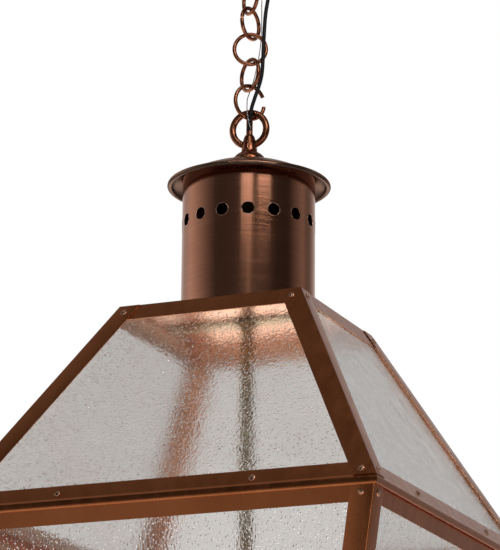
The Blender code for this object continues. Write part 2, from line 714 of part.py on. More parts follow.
def make_catch(axes):
    """A plate fixed behind the post, reaching in behind the door's edge, where the axes' X is 0."""
    tall, plate = 0.034, 0.0022
    tongue_top = -DOOR_THICK - GAP
    back = tongue_top - plate
    foot = box((0.0175, tall, UNDER_POST - back), (0.01125, 0, (UNDER_POST + back) / 2), axes)
    tongue = box((0.029, tall, plate), (0.0055, 0, tongue_top - plate / 2), axes)
    combine(foot, as_cutter(tongue, "catch_tongue"), "UNION")
    finish(foot, "door_catch", BRASS)


# ---------------------------------------------------------------- lamps


def make_lamps():
    tray = -STEM_BOTTOM_DROP + 0.003
    socket_hole = STEM_RADIUS + 0.0005
    body = above_roof([
        (0, tray - 0.0038), (socket_hole, tray - 0.0038), (socket_hole, tray + 0.029), (0.0150, tray + 0.029),
        (0.0170, tray + 0.023), (0.0140, tray + 0.015), (0.0150, tray + 0.002), (0.0250, tray),
        (CLUSTER_RADIUS - 0.005, tray), (CLUSTER_RADIUS - 0.0008, tray + 0.006), (CLUSTER_RADIUS, tray + 0.0055),
        (CLUSTER_RADIUS - 0.004, tray - 0.0022), (0.0300, tray - 0.0025), (0.0220, tray - 0.008),
        (0.0120, tray - 0.023), (0.0070, tray - 0.035), (0.0095, tray - 0.041), (0.0060, tray - 0.046),
        (0, tray - 0.048),
    ])
    finish(turned(body, 24, closed=False), "cluster_body", BRASS)

    foot = tray + GAP
    head = foot + SLEEVE_HEIGHT
    socket_top = foot + SOCKET_HEIGHT
    well = socket_top - 0.026
    sleeve = [(SLEEVE_RADIUS - 0.0015, head), (SLEEVE_RADIUS, head), (SLEEVE_RADIUS, foot),
              (SLEEVE_RADIUS - 0.0015, foot)]
    socket = [(0, well), (0.0072, well), (0.0072, socket_top), (SOCKET_RADIUS, socket_top), (SOCKET_RADIUS, foot),
              (0, foot)]
    neck = head - 0.001
    cap_radius = 0.0064
    bulb = [
        (0, neck + 0.0900), (0.0035, neck + 0.0840), (0.0080, neck + 0.0715), (0.0130, neck + 0.0555),
        (0.0163, neck + 0.0410), (BULB_RADIUS, neck + 0.0290), (0.0162, neck + 0.0170), (0.0125, neck + 0.0080),
        (0.0088, neck + 0.0030), (cap_radius, neck), (cap_radius, well + 0.003), (0.0030, well + 0.001),
        (0, well + 0.001),
    ]
    for k in range(LAMP_COUNT):
        turn = math.radians(90 + 360 * k / LAMP_COUNT)
        place = (LAMP_CIRCLE * math.cos(turn), LAMP_CIRCLE * math.sin(turn), 0)
        for label, profile, closed, sides, material in (
            ("candle_sleeve", sleeve, True, 16, IVORY),
            ("lamp_socket", socket, False, 14, PHENOLIC),
            ("bulb", bulb, False, 14, CLEAR),
        ):
            piece = turned(above_roof(profile), sides, closed)
            piece.location = place
            finish(piece, f"{label}_{k + 1}", material)


make_canopy()
make_chain()
make_wires()
make_hanging_ring()
make_cap()
make_chimney()
make_stem()
make_roof()
make_body()
make_door()
make_lamps()
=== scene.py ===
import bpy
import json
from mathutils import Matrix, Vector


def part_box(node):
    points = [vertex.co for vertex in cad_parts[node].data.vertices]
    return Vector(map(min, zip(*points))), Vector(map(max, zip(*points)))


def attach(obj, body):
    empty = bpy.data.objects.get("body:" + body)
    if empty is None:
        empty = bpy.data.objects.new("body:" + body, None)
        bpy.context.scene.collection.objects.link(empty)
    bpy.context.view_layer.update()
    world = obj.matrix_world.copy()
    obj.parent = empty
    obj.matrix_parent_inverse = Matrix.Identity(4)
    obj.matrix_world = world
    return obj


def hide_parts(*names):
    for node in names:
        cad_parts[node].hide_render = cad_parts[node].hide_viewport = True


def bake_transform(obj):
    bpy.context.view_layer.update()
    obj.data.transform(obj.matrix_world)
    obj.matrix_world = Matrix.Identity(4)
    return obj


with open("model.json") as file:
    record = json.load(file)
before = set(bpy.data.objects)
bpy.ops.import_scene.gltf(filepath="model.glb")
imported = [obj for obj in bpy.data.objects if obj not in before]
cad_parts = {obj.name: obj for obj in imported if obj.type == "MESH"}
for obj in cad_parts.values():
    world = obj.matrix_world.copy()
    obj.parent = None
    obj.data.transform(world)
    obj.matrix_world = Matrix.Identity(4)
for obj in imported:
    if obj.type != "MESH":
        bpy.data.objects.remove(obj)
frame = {"nodes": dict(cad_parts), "record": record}
"""Looks of the hanging lantern: fine meshes and procedural materials on the CAD frame.

Metres, +Z up, origin at the ceiling.  The front faces -Y, the door is on -X.
"""
import json
import math
import random

import bmesh
import bpy
from mathutils import Matrix, Vector, noise

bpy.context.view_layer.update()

# ---------------------------------------------------------------- sizes read from the frame


def low(node):
    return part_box(node)[0]


def high(node):
    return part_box(node)[1]


SHEET = 0.0012                  # thickness of the copper sheet
GAP = 0.0003                    # clearance between neighbours
ROOF_Z = high("top_plate")[2]
ROOF_TOP_HALF = 0.1334          # half of the square roof's side, at its top and at the eave
EAVE_HALF = 0.305
ROOF_RISE = 0.302
EAVE_Z = ROOF_Z - ROOF_RISE
BODY_TOP_HALF = 0.3014
BODY_TOP_DROP = 0.306           # the body's ends, below the roof's top plate
BODY_TOP_Z = ROOF_Z - BODY_TOP_DROP
BODY_BOTTOM_HALF = 0.190
BODY_BOTTOM_DROP = 0.779
BODY_BOTTOM_Z = ROOF_Z - BODY_BOTTOM_DROP
HIP_WIDTH = 0.0312
POST_WIDTH = 0.032
POST_THICK = 0.0015
STRIP_WIDTH = 0.0255
RAIL_HEIGHT = 0.027
GLASS = 0.003
CHIMNEY_RADIUS = high("chimney")[0]
FACES = {"front": 0, "right": 90, "back": 180, "left": 270}
CORNERS = {"front_right": 0, "back_right": 90, "back_left": 180, "front_left": 270}
# how far each ring of the chain is turned about the vertical, in degrees
LINK_TURNS = {6: 50, 5: -41, 4: 81, 3: 23, 2: -35, 1: 50}
LINK_RADIUS = 0.0226
LINK_STOCK = 0.0029

# ---------------------------------------------------------------- camera and studio

VIEW_AZIMUTH = 23.267           # degrees to the right of the front
VIEW_DISTANCE = 3.8835
VIEW_DROP = 1.06728             # the lens is this far below the roof's top plate
VIEW_PITCH = 16.283
VIEW_YAW = 23.230
VIEW_ROLL = 0.507
LENS = 190.29
FLOOR_Z = -2.60


def make_camera():
    around = math.radians(VIEW_AZIMUTH)
    yaw, pitch, roll = (math.radians(a) for a in (VIEW_YAW, VIEW_PITCH, VIEW_ROLL))
    level_part = math.cos(pitch)
    forward = Vector((-math.sin(yaw) * level_part, math.cos(yaw) * level_part, math.sin(pitch)))
    right = Vector((math.cos(yaw), math.sin(yaw), 0))
    up = right.cross(forward)
    level, raised = right, up
    right = math.cos(roll) * level + math.sin(roll) * raised
    up = -math.sin(roll) * level + math.cos(roll) * raised
    data = bpy.data.cameras.new("camera")
    data.lens = LENS
    data.sensor_width = 36
    data.clip_end = 100
    camera = bpy.data.objects.new("camera", data)
    bpy.context.scene.collection.objects.link(camera)
    camera.matrix_world = Matrix((
        (right.x, up.x, -forward.x, math.sin(around) * VIEW_DISTANCE),
        (right.y, up.y, -forward.y, -math.cos(around) * VIEW_DISTANCE),
        (right.z, up.z, -forward.z, ROOF_Z - VIEW_DROP),
        (0, 0, 0, 1),
    ))
    bpy.context.scene.camera = camera


def add(tree, kind, **inputs):
    """A shader node with its sockets set by name; a value that is a socket is linked."""
    made = tree.nodes.new(kind)
    for key, value in inputs.items():
        if hasattr(made, key) and key not in made.inputs:
            setattr(made, key, value)
            continue
        name = key.replace("_", " ")
        socket = made.inputs[name] if name in made.inputs else made.inputs[int(key[1:])]
        if isinstance(value, bpy.types.NodeSocket):
            tree.links.new(value, socket)
        else:
            socket.default_value = value
    return made


def ramp(tree, factor, stops):
    """Colours in straight steps between (place, colour) stops."""
    made = tree.nodes.new("ShaderNodeValToRGB")
    elements = made.color_ramp.elements
    while len(elements) < len(stops):
        elements.new(0.5)
    for element, (place, colour) in zip(elements, stops):
        element.position = place
        element.color = (*colour, 1)
    tree.links.new(factor, made.inputs[0])
    return made.outputs["Color"]


def grey(value):
    return (value, value, value)


def make_world():
    """White to the eye; in reflections, a studio with bright walls behind and dark ones beside."""
    world = bpy.data.worlds.new("studio")
    bpy.context.scene.world = world
    world.use_nodes = True
    tree = world.node_tree
    tree.nodes.clear()
    coords = add(tree, "ShaderNodeTexCoord")
    yaw = math.radians(VIEW_YAW)
    behind = add(tree, "ShaderNodeVectorMath", operation="DOT_PRODUCT", i0=coords.outputs["Generated"],
                 i1=(-math.sin(yaw), math.cos(yaw), 0))
    side = add(tree, "ShaderNodeVectorMath", operation="DOT_PRODUCT", i0=coords.outputs["Generated"],
               i1=(math.cos(yaw), math.sin(yaw), 0))
    turn = add(tree, "ShaderNodeMath", operation="ARCTAN2", i0=side.outputs["Value"],
               i1=behind.outputs["Value"])
    around = add(tree, "ShaderNodeMapRange", Value=turn.outputs[0], From_Min=-math.pi, From_Max=math.pi)
    # round the room from the camera's wall, by its left, the wall behind the lantern and its right
    walls = ramp(tree, around.outputs[0], [
        (0.000, grey(0.26)), (0.012, grey(0.08)), (0.081, grey(0.05)), (0.122, grey(0.05)),
        (0.164, grey(0.05)), (0.211, grey(0.16)), (0.264, grey(0.34)), (0.328, grey(0.56)),
        (0.400, grey(0.40)), (0.450, grey(0.59)), (0.550, grey(0.59)), (0.600, grey(0.32)),
        (0.640, grey(0.15)), (0.670, grey(0.15)), (0.700, grey(0.26)), (0.744, grey(0.155)),
        (0.797, grey(0.03)), (0.842, grey(0.03)), (0.883, grey(0.03)), (0.925, grey(0.04)),
        (0.964, grey(0.07)), (0.988, grey(0.09)), (1.000, grey(0.26)),
    ])
    height = add(tree, "ShaderNodeSeparateXYZ", Vector=coords.outputs["Generated"])
    upward = add(tree, "ShaderNodeMapRange", Value=height.outputs["Z"], From_Min=-1.0, From_Max=1.0)
    ceiling = ramp(tree, upward.outputs[0], [
        (0.00, grey(0.36)), (0.44, grey(0.38)), (0.50, grey(0.32)), (0.55, grey(0.31)),
        (0.64, grey(0.25)), (0.74, grey(0.25)), (0.80, grey(0.10)), (0.88, grey(0.10)),
        (0.95, grey(0.19)), (1.00, grey(0.19)),
    ])
    seen = add(tree, "ShaderNodeMix", data_type="RGBA", blend_type="MULTIPLY")
    seen.inputs["Factor"].default_value = 1
    tree.links.new(walls, seen.inputs["A"])
    tree.links.new(ceiling, seen.inputs["B"])
    mirrored = add(tree, "ShaderNodeBackground", Color=seen.outputs["Result"], Strength=4.0)
    backdrop = add(tree, "ShaderNodeBackground", Color=(1, 1, 1, 1), Strength=1.0)
    path = add(tree, "ShaderNodeLightPath")
    either = add(tree, "ShaderNodeMixShader", i0=path.outputs["Is Camera Ray"],
                 i1=mirrored.outputs[0], i2=backdrop.outputs[0])
    out = add(tree, "ShaderNodeOutputWorld")
    tree.links.new(either.outputs[0], out.inputs["Surface"])


def make_lights():
    """Soft boxes: (azimuth from the camera, height over the roof, distance, size, watts)."""
    boxes = {
        "chimney_box_middle": (-3, 0.79, 1.4, (0.50, 0.50), 0.8),
        "chimney_box_right": (26, 0.91, 1.4, (0.56, 0.50), 3.2),
        "edge_strip": (32, -0.6, 2.6, (0.22, 0.9), 4),
        "soft_box_top": (5, 2.2, 1.6, (0.9, 0.9), 5),
        "fill_low": (10, -1.6, 2.8, (1.4, 0.8), 4),
        "back_low": (180, -0.95, 3.0, (3.0, 1.0), 13),
        "front_low": (-46, -0.95, 3.0, (1.0, 0.7), 0.9),
        "key_left": (-28, 1.9, 2.4, (0.10, 0.16), 1.6),
        "key_right": (22, 1.7, 2.4, (0.10, 0.16), 1.6),
    }
    middle = Vector((0, 0, ROOF_Z - 0.1))
    for name, (azimuth, height, distance, (wide, tall), watts) in boxes.items():
        data = bpy.data.lights.new(name, "AREA")
        data.shape = "RECTANGLE"
        data.size, data.size_y = wide, tall
        data.energy = watts
        lamp = bpy.data.objects.new(name, data)
        bpy.context.scene.collection.objects.link(lamp)
        turn = math.radians(VIEW_AZIMUTH + azimuth)
        lamp.location = (distance * math.sin(turn), -distance * math.cos(turn), ROOF_Z + height)
        lamp.rotation_euler = (middle - lamp.location).to_track_quat("-Z", "Y").to_euler()


def make_floor():
    bpy.ops.mesh.primitive_plane_add(size=6, location=(0, 0, FLOOR_Z))
    floor = bpy.context.object
    floor.name = "floor"
    paint = bpy.data.materials.new("pale_floor")
    paint.use_nodes = True
    shader = paint.node_tree.nodes["Principled BSDF"]
    shader.inputs["Base Color"].default_value = (0.82, 0.81, 0.80, 1)
    shader.inputs["Roughness"].default_value = 0.7
    # a little light of its own keeps it pale all over
    shader.inputs["Emission Color"].default_value = (1.0, 0.985, 0.97, 1)
    shader.inputs["Emission Strength"].default_value = 0.6
    floor.data.materials.append(paint)


# ---------------------------------------------------------------- materials


def blank_material(name):
    made = bpy.data.materials.new(name)
    made.use_nodes = True
    tree = made.node_tree
    return made, tree, tree.nodes["Principled BSDF"]


def object_coords(tree, scale=(1, 1, 1)):
    coords = add(tree, "ShaderNodeTexCoord")
    place = add(tree, "ShaderNodeMapping", Vector=coords.outputs["Object"])
    place.inputs["Scale"].default_value = scale
    return place.outputs["Vector"]


def speckle(tree, scale, detail=4, stretch=(1, 1, 1)):
    made = add(tree, "ShaderNodeTexNoise", Vector=object_coords(tree, stretch), Scale=scale, Detail=detail)
    return made.outputs["Fac"]


def set_bump(tree, shader, height, distance, strength=1.0):
    bump = add(tree, "ShaderNodeBump", Strength=strength, Distance=distance, Height=height)
    tree.links.new(bump.outputs["Normal"], shader.inputs["Normal"])


def spread(tree, factor, least, most, start=0.3, end=0.7):
    made = add(tree, "ShaderNodeMapRange", Value=factor, From_Min=start, From_Max=end, To_Min=least,
               To_Max=most)
    return made.outputs[0]


def blended(tree, mode, amount, first, second):
    made = add(tree, "ShaderNodeMix", data_type="RGBA", blend_type=mode)
    for socket, value in (("Factor", amount), ("A", first), ("B", second)):
        # the colour sockets are the last of their name
        target = [s for s in made.inputs if s.name == socket and s.enabled][-1]
        if isinstance(value, bpy.types.NodeSocket):
            tree.links.new(value, target)
        else:
            target.default_value = value
    return [s for s in made.outputs if s.enabled][0]


def inward(tree):
    """1 where a surface faces the middle of the lantern, 0 where it faces out."""
    coords = add(tree, "ShaderNodeTexCoord")
    middle = (0, 0, ROOF_Z - 0.25)
    out = add(tree, "ShaderNodeVectorMath", operation="SUBTRACT", i0=coords.outputs["Object"], i1=middle)
    facing = add(tree, "ShaderNodeVectorMath", operation="DOT_PRODUCT", i0=coords.outputs["Normal"],
                 i1=out.outputs[0])
    return spread(tree, facing.outputs["Value"], 1, 0, -0.02, -0.005)


def copper(name, dark, mid, light, rough, streak, bump=0.00003, patina=9.0, inner_raw_and_shade=None,
           edge=(1, 1, 1)):
    """Lacquered copper: grain, a cloudy patina and, if an inner colour is given, that colour on inner faces
    (raw copper in the lantern, painted shade under the rain cap).
    """
    made, tree, shader = blank_material(name)
    grain = speckle(tree, 60, 6, streak)
    cloud = speckle(tree, patina, 5)
    tone = blended(tree, "MIX", 0.6, grain, cloud)
    colour = ramp(tree, tone, [(0.34, dark), (0.50, mid), (0.66, light)])
    # inner faces take the given colour: raw copper inside the lantern, painted shade under the rain cap
    if inner_raw_and_shade:
        colour = blended(tree, "MIX", inward(tree), colour, (*inner_raw_and_shade, 1))
    shader.inputs["Metallic"].default_value = 1.0
    tree.links.new(colour, shader.inputs["Base Color"])
    tree.links.new(spread(tree, grain, rough * 0.85, rough * 1.15), shader.inputs["Roughness"])
    shader.inputs["Specular Tint"].default_value = (*edge, 1)
    set_bump(tree, shader, grain, bump)
    return made


def brushed_copper():
    """The chimney: level brush marks, swirled in places, over a drawn sheet."""
    made, tree, shader = blank_material("brushed_copper")
    warp = speckle(tree, 7, 1)
    coords = add(tree, "ShaderNodeTexCoord")
    lift = add(tree, "ShaderNodeCombineXYZ", Z=spread(tree, warp, -0.003, 0.003))
    bent = add(tree, "ShaderNodeVectorMath", operation="ADD", i0=coords.outputs["Object"], i1=lift.outputs[0])
    marks = add(tree, "ShaderNodeMapping", Vector=bent.outputs[0])
    marks.inputs["Scale"].default_value = (6, 6, 700)
    fine = add(tree, "ShaderNodeTexNoise", Vector=marks.outputs[0], Scale=1.6, Detail=5).outputs["Fac"]
    cloud = speckle(tree, 14, 4)
    tone = blended(tree, "MIX", 0.4, fine, cloud)
    colour = ramp(tree, tone, [
        (0.32, (0.50, 0.21, 0.12)), (0.50, (0.60, 0.26, 0.155)), (0.70, (0.70, 0.32, 0.20)),
    ])
    tree.links.new(colour, shader.inputs["Base Color"])
    shader.inputs["Metallic"].default_value = 1.0
    tree.links.new(spread(tree, fine, 0.11, 0.20), shader.inputs["Roughness"])
    set_bump(tree, shader, fine, 0.00003)
    return made


def seeded_glass():
    """Old-style sheet: small bubbles, longer seeds and a slow wave."""
    made, tree, shader = blank_material("seeded_glass")
    bubbles = add(tree, "ShaderNodeTexVoronoi", Vector=object_coords(tree), Scale=210.0, Randomness=1.0)
    dots = spread(tree, bubbles.outputs["Distance"], 1.0, 0.0, 0.06, 0.22)
    ripple = speckle(tree, 300, 3, (1, 1, 0.6))
    wave = speckle(tree, 24, 2)
    height = add(tree, "ShaderNodeMath", operation="MULTIPLY_ADD", i0=dots, i1=7.0, i2=ripple)
    height = add(tree, "ShaderNodeMath", operation="MULTIPLY_ADD", i0=wave, i1=0.8, i2=height.outputs[0])
    set_bump(tree, shader, height.outputs[0], 0.00042, 0.5)
    shader.inputs["Base Color"].default_value = (0.95, 0.93, 0.91, 1)
    shader.inputs["Roughness"].default_value = 0.03
    shader.inputs["Transmission Weight"].default_value = 1.0
    shader.inputs["IOR"].default_value = 1.45
    return made


def clear_glass():
    made, tree, shader = blank_material("lamp_glass")
    shader.inputs["Base Color"].default_value = (0.97, 0.96, 0.94, 1)
    shader.inputs["Transmission Weight"].default_value = 1.0
    shader.inputs["IOR"].default_value = 1.45
    tree.links.new(spread(tree, speckle(tree, 40), 0.01, 0.05), shader.inputs["Roughness"])
    return made


def plain(name, dark, light, rough, metallic=0.0, scale=40, bump=0.00005):
    made, tree, shader = blank_material(name)
    mottle = speckle(tree, scale, 5)
    tree.links.new(ramp(tree, mottle, [(0.35, dark), (0.65, light)]), shader.inputs["Base Color"])
    shader.inputs["Metallic"].default_value = metallic
    tree.links.new(spread(tree, mottle, rough * 0.8, rough * 1.25), shader.inputs["Roughness"])
    shader.inputs["Specular IOR Level"].default_value = 0.3
    set_bump(tree, shader, mottle, bump)
    return made


PATINA = ((0.37, 0.112, 0.038), (0.43, 0.135, 0.048), (0.50, 0.165, 0.062))
MATERIALS = {
    "antique_copper": copper("antique_copper", *PATINA, 0.27, (1, 1, 0.25), inner_raw_and_shade=(0.93, 0.50, 0.31)),
    "canopy_copper": copper("canopy_copper", *PATINA, 0.27, (1, 1, 1)),
    "brushed_copper": brushed_copper(),
    # the rain cap's near-black inner colour is painted shade on its underside
    "cap_copper": copper("cap_copper", (0.30, 0.15, 0.09), (0.38, 0.20, 0.12), (0.48, 0.26, 0.165),
                         0.26, (1, 1, 1), 0.00004, 14.0, inner_raw_and_shade=(0.075, 0.048, 0.040),
                         edge=(0.74, 0.62, 0.56)),
    "chain_copper": copper("chain_copper", (0.27, 0.088, 0.040), (0.36, 0.13, 0.062), (0.48, 0.20, 0.105),
                           0.22, (1, 1, 1), 0.00004, 30.0),
    "aged_brass": plain("aged_brass", (0.48, 0.35, 0.18), (0.72, 0.56, 0.31), 0.35, 1.0, 25),
    "plated_steel": plain("plated_steel", (0.45, 0.45, 0.46), (0.62, 0.62, 0.62), 0.35, 1.0, 60),
    "tinned_wire": plain("tinned_wire", (0.48, 0.45, 0.42), (0.72, 0.69, 0.66), 0.25, 1.0, 200),
    "seeded_glass": seeded_glass(),
    "lamp_glass": clear_glass(),
    "cord_jacket": plain("cord_jacket", (0.012, 0.008, 0.009), (0.024, 0.017, 0.018), 0.5, 0.0, 120),
    "rivet_copper": plain("rivet_copper", (0.42, 0.20, 0.12), (0.72, 0.42, 0.28), 0.18, 1.0, 300),
    "bright_edge": plain("bright_edge", (0.60, 0.36, 0.26), (0.82, 0.56, 0.42), 0.22, 1.0, 200),
    "ivory_sleeve": plain("ivory_sleeve", (0.66, 0.60, 0.46), (0.76, 0.71, 0.58), 0.5, 0.0, 30),
    "phenolic": plain("phenolic", (0.02, 0.017, 0.015), (0.05, 0.042, 0.036), 0.4, 0.0, 60),
}

# ---------------------------------------------------------------- mesh helpers


def circle(count):
    """The angles of equal steps round one turn."""
    return [2 * math.pi * k / count for k in range(count)]


def face_outward(mesh):
    bm = bmesh.new()
    bm.from_mesh(mesh)
    bmesh.ops.recalc_face_normals(bm, faces=bm.faces[:])
    bm.to_mesh(mesh)
    bm.free()


def join_to(vertices, faces, more_vertices, more_faces):
    """Append one mesh's lists to another's."""
    faces += [tuple(i + len(vertices) for i in face) for face in more_faces]
    vertices += more_vertices


def new_piece(name, vertices, faces, material, body, nodes=(), smooth=40):
    """A mesh that rides on a body and may stand for CAD nodes."""
    mesh = bpy.data.meshes.new(name)
    mesh.from_pydata([tuple(v) for v in vertices], [], faces)
    mesh.validate()
    return dress(name, mesh, material, body, nodes, smooth)


def dress(name, mesh, material, body, nodes=(), smooth=40):
    """An object of the mesh with its material and slot, on a body if one is given."""
    face_outward(mesh)
    mesh.shade_smooth()
    mesh.set_sharp_from_angle(angle=math.radians(smooth))
    mesh.materials.append(MATERIALS[material])
    made = bpy.data.objects.new(name, mesh)
    bpy.context.scene.collection.objects.link(made)
    if body:
        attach(made, body)
    if nodes:
        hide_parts(*nodes)
    return made


def loft(rings, closed_around=True, closed_along=False, caps=False):
    """Vertices and faces of a tube through rings of equal length."""
    count = len(rings[0])
    vertices = [p for ring in rings for p in ring]
    faces = []
    for i in range(len(rings) if closed_along else len(rings) - 1):
        here, there = i * count, (i + 1) % len(rings) * count
        for k in range(count if closed_around else count - 1):
            nxt = (k + 1) % count
            faces.append((here + k, here + nxt, there + nxt, there + k))
    if caps and not closed_along:
        faces.append(tuple(range(count)))
        faces.append(tuple(range((len(rings) - 1) * count, len(rings) * count)))
    return vertices, faces


def lathe(profile, steps, centre=(0, 0), shake=0.0, seed=0):
    """Turn (radius, z) points about the vertical through centre; the profile closes on itself."""
    cx, cy = centre
    rings = []
    for t in circle(steps):
        ring = []
        for r, z in profile:
            wobble = shake * noise.noise(Vector((math.cos(t) * 3 + seed, math.sin(t) * 3, z * 30)))
            r_now = r + wobble if r > 0.001 else r
            ring.append((cx + r_now * math.cos(t), cy + r_now * math.sin(t), z))
        rings.append(ring)
    return loft(rings, closed_around=True, closed_along=True)


def rounded(points, radius, steps=4):
    """A closed outline with each corner turned into a small arc (a quadratic curve)."""
    made = []
    count = len(points)
    for i, here in enumerate(points):
        here = Vector(here)
        before, after = Vector(points[i - 1]), Vector(points[(i + 1) % count])
        reach_in = min(radius, (before - here).length * 0.45)
        reach_out = min(radius, (after - here).length * 0.45)
        start = here + (before - here).normalized() * reach_in
        end = here + (after - here).normalized() * reach_out
        for k in range(steps + 1):
            t = k / steps
            made.append((1 - t) ** 2 * start + 2 * t * (1 - t) * here + t * t * end)
    return made


def tidy_mesh(name, vertices, faces):
    """Weld the points that a lathe leaves on its axis."""
    mesh = bpy.data.meshes.new(name)
    mesh.from_pydata([tuple(v) for v in vertices], [], faces)
    bm = bmesh.new()
    bm.from_mesh(mesh)
    bmesh.ops.remove_doubles(bm, verts=bm.verts[:], dist=0.000002)
    bmesh.ops.dissolve_degenerate(bm, edges=bm.edges[:], dist=0.0000005)
    bm.to_mesh(mesh)
    bm.free()
    return mesh


def turned_piece(name, profile, steps, material, body, nodes=(), centre=(0, 0), shake=0.0,
                 soften=0.0006):
    outline = [tuple(p) for p in rounded(profile, soften, 3)] if soften else profile
    vertices, faces = lathe(outline, steps, centre, shake, len(name))
    return dress(name, tidy_mesh(name, vertices, faces), material, body, nodes)


def above_roof(profile):
    return [(r, ROOF_Z + h) for r, h in profile]


class Face:
    """One sloping side: X level, Y up the slope, Z out; s runs down the slope from its top edge."""

    def __init__(self, top_half, top_z, bottom_half, bottom_z, turn):
        self.top_half, self.bottom_half = top_half, bottom_half
        down = Vector((0, top_half - bottom_half, bottom_z - top_z))
        self.slope = down.length
        level, up = Vector((1, 0, 0)), -down.normalized()
        axes = Matrix((level, up, level.cross(up))).transposed().to_4x4()
        spin = Matrix.Rotation(math.radians(turn), 4, "Z")
        self.matrix = spin @ Matrix.Translation((0, -top_half, top_z)) @ axes

    def half(self, s):
        return self.top_half + (self.bottom_half - self.top_half) * s / self.slope

    def at(self, u, s, level=0.0):
        return self.matrix @ Vector((u, -s, level))


def roof_face(name):
    return Face(ROOF_TOP_HALF, ROOF_Z, EAVE_HALF, EAVE_Z, FACES[name])


def body_face(name):
    return Face(BODY_TOP_HALF, BODY_TOP_Z, BODY_BOTTOM_HALF, BODY_BOTTOM_Z, FACES[name])


# ---------------------------------------------------------------- cords

# routes as (right, towards the eye, height over the roof) in mm, for an eye ROUTE_TURN to the front's right
ROUTE_TURN = 23.27
CORD_RADIUS = 0.00275
GROUND_RADIUS = 0.0007
CORD_ROUTE = [
    (-1.2, 0.1, 569.0), (0.2, 0.9, 562.0), (4.4, 2.8, 553.0), (10.8, 5.0, 542.5), (17.8, 6.6, 530.0),
    (24.0, 7.6, 514.0), (26.8, 8.2, 496.0), (24.8, 8.2, 476.0), (21.4, 8.2, 452.0), (19.6, 8.2, 424.0),
    (18.8, 8.4, 403.0), (18.2, 8.6, 384.0), (16.8, 8.4, 362.0), (13.2, 8.4, 345.0), (7.4, 9.6, 326.0),
    (3.0, 10.0, 311.0), (1.4, 9.2, 300.0), (0.2, 6.4, 290.0), (-0.8, 2.8, 280.5), (-1.2, 0.6, 272.5),
    (-1.2, 0.0, 266.0),
]
GROUND_ROUTE = [
    (2.8, -0.3, 570.0), (4.4, -0.8, 561.0), (8.6, 0.2, 546.5), (12.0, 1.2, 530.0), (14.4, 1.5, 512.0),
    (15.6, 0.0, 492.0), (15.9, -2.0, 470.0), (16.0, -4.0, 448.0), (15.7, -5.2, 424.0), (14.4, -5.4, 408.0),
    (13.0, -5.8, 396.0), (11.0, -6.6, 385.0), (6.4, -7.6, 362.0), (0.6, -8.0, 342.0), (-3.2, -4.6, 329.0),
    (-3.8, 1.8, 319.0), (-3.8, 7.4, 309.5), (-3.2, 10.0, 300.0), (-1.4, 10.9, 290.5), (0.9, 7.9, 282.5),
    (2.4, 3.8, 276.5), (2.9, 0.9, 271.5), (2.9, 0.0, 266.0),
]
HANGING_BODIES = ["canopy", "link_6", "link_5", "link_4", "link_3", "link_2", "link_1", "lantern"]


def world_route(route, per_span=8):
    """A smooth curve through the route's points, in metres."""
    turn = math.radians(ROUTE_TURN)
    right = Vector((math.cos(turn), math.sin(turn), 0))
    near = Vector((math.sin(turn), -math.cos(turn), 0))
    roof = Vector((0, 0, ROOF_Z))
    points = [(right * r + near * n + Vector((0, 0, h))) / 1000 + roof for r, n, h in route]
    padded = [2 * points[0] - points[1], *points, 2 * points[-1] - points[-2]]
    made = []
    for a, b, c, d in zip(padded, padded[1:], padded[2:], padded[3:]):
        for k in range(per_span):
            t = k / per_span
            made.append(
                0.5 * (2 * b + (c - a) * t + (2 * a - 5 * b + 4 * c - d) * t**2
                       + (3 * b - a - 3 * c + d) * t**3)
            )
    made.append(points[-1])
    return made


def tube_rings(path, radius, sides):
    """Rings square to a path, carried along it without twist."""
    rings = []
    across = Vector((1, 0, 0))
    for i, place in enumerate(path):
        along = (path[min(i + 1, len(path) - 1)] - path[max(i - 1, 0)]).normalized()
        across = (across - along * across.dot(along)).normalized()
        other = along.cross(across)
        rings.append([place + radius * (math.cos(t) * across + math.sin(t) * other)
                      for t in circle(sides)])
    return rings


def link_middle(n):
    node = f"chain_link_{n}"
    return (low(node)[2] + high(node)[2]) / 2


def make_cord(name, route, radius, sides, material, node):
    """A cord in one stretch for each joint of the chain, each stretch cut at the middles of the links and
    left in no body.
    """
    path = world_route(route)
    cuts = [link_middle(n) for n in (6, 5, 4, 3, 2, 1)]
    splits = [0]
    for z in cuts:
        splits.append(min(range(len(path)), key=lambda i: abs(path[i].z - z)))
    splits.append(len(path) - 1)
    whole_rings = tube_rings(path, radius, sides)
    pairs = zip(HANGING_BODIES, HANGING_BODIES[1:])
    for k, ((above, below), start, end) in enumerate(zip(pairs, splits, splits[1:])):
        vertices, faces = loft(whole_rings[start:end + 1], caps=True)
        piece = new_piece(f"{name}_{k + 1}", vertices, faces, material, None, (node,))
        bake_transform(piece)


# ---------------------------------------------------------------- chain and rings

RING_STEPS = 96
RING_SIDES = 28
# where the rod of an open or butted ring starts and ends, in degrees
LINK_ENDS = {1: (25, 351.67), 4: (178, 532)}


def ring_point(turn, z, wide, tall, t):
    level = Vector((math.cos(math.radians(turn)), math.sin(math.radians(turn)), 0))
    return level * wide * math.cos(t) + Vector((0, 0, z + tall * math.sin(t)))


def ring_axis(turn):
    """The level axis that a ring lies square to."""
    return Vector((-math.sin(math.radians(turn)), math.cos(math.radians(turn)), 0))


def make_ring(name, body, node, turn, z, wide, tall, stock, start, end):
    """A ring of bent rod, lightly dressed with a hammer; open if start to end is under a turn."""
    steps, sides = RING_STEPS, RING_SIDES
    closed = end - start >= 360
    normal = ring_axis(turn)
    rings = []
    for i in range(steps if closed else steps + 1):
        t = math.radians(start + (end - start) * i / steps)
        place = ring_point(turn, z, wide, tall, t)
        outward = (place - Vector((0, 0, z))).normalized()
        ring = []
        for a in circle(sides):
            direction = math.cos(a) * outward + math.sin(a) * normal
            dent = 0.00010 * noise.noise(place * 260 + direction * 1.3)
            ring.append(place + (stock + dent - 0.00005) * direction)
        rings.append(ring)
    vertices, faces = loft(rings, closed_along=closed, caps=True)
    new_piece(name, vertices, faces, "chain_copper", body, (node,))


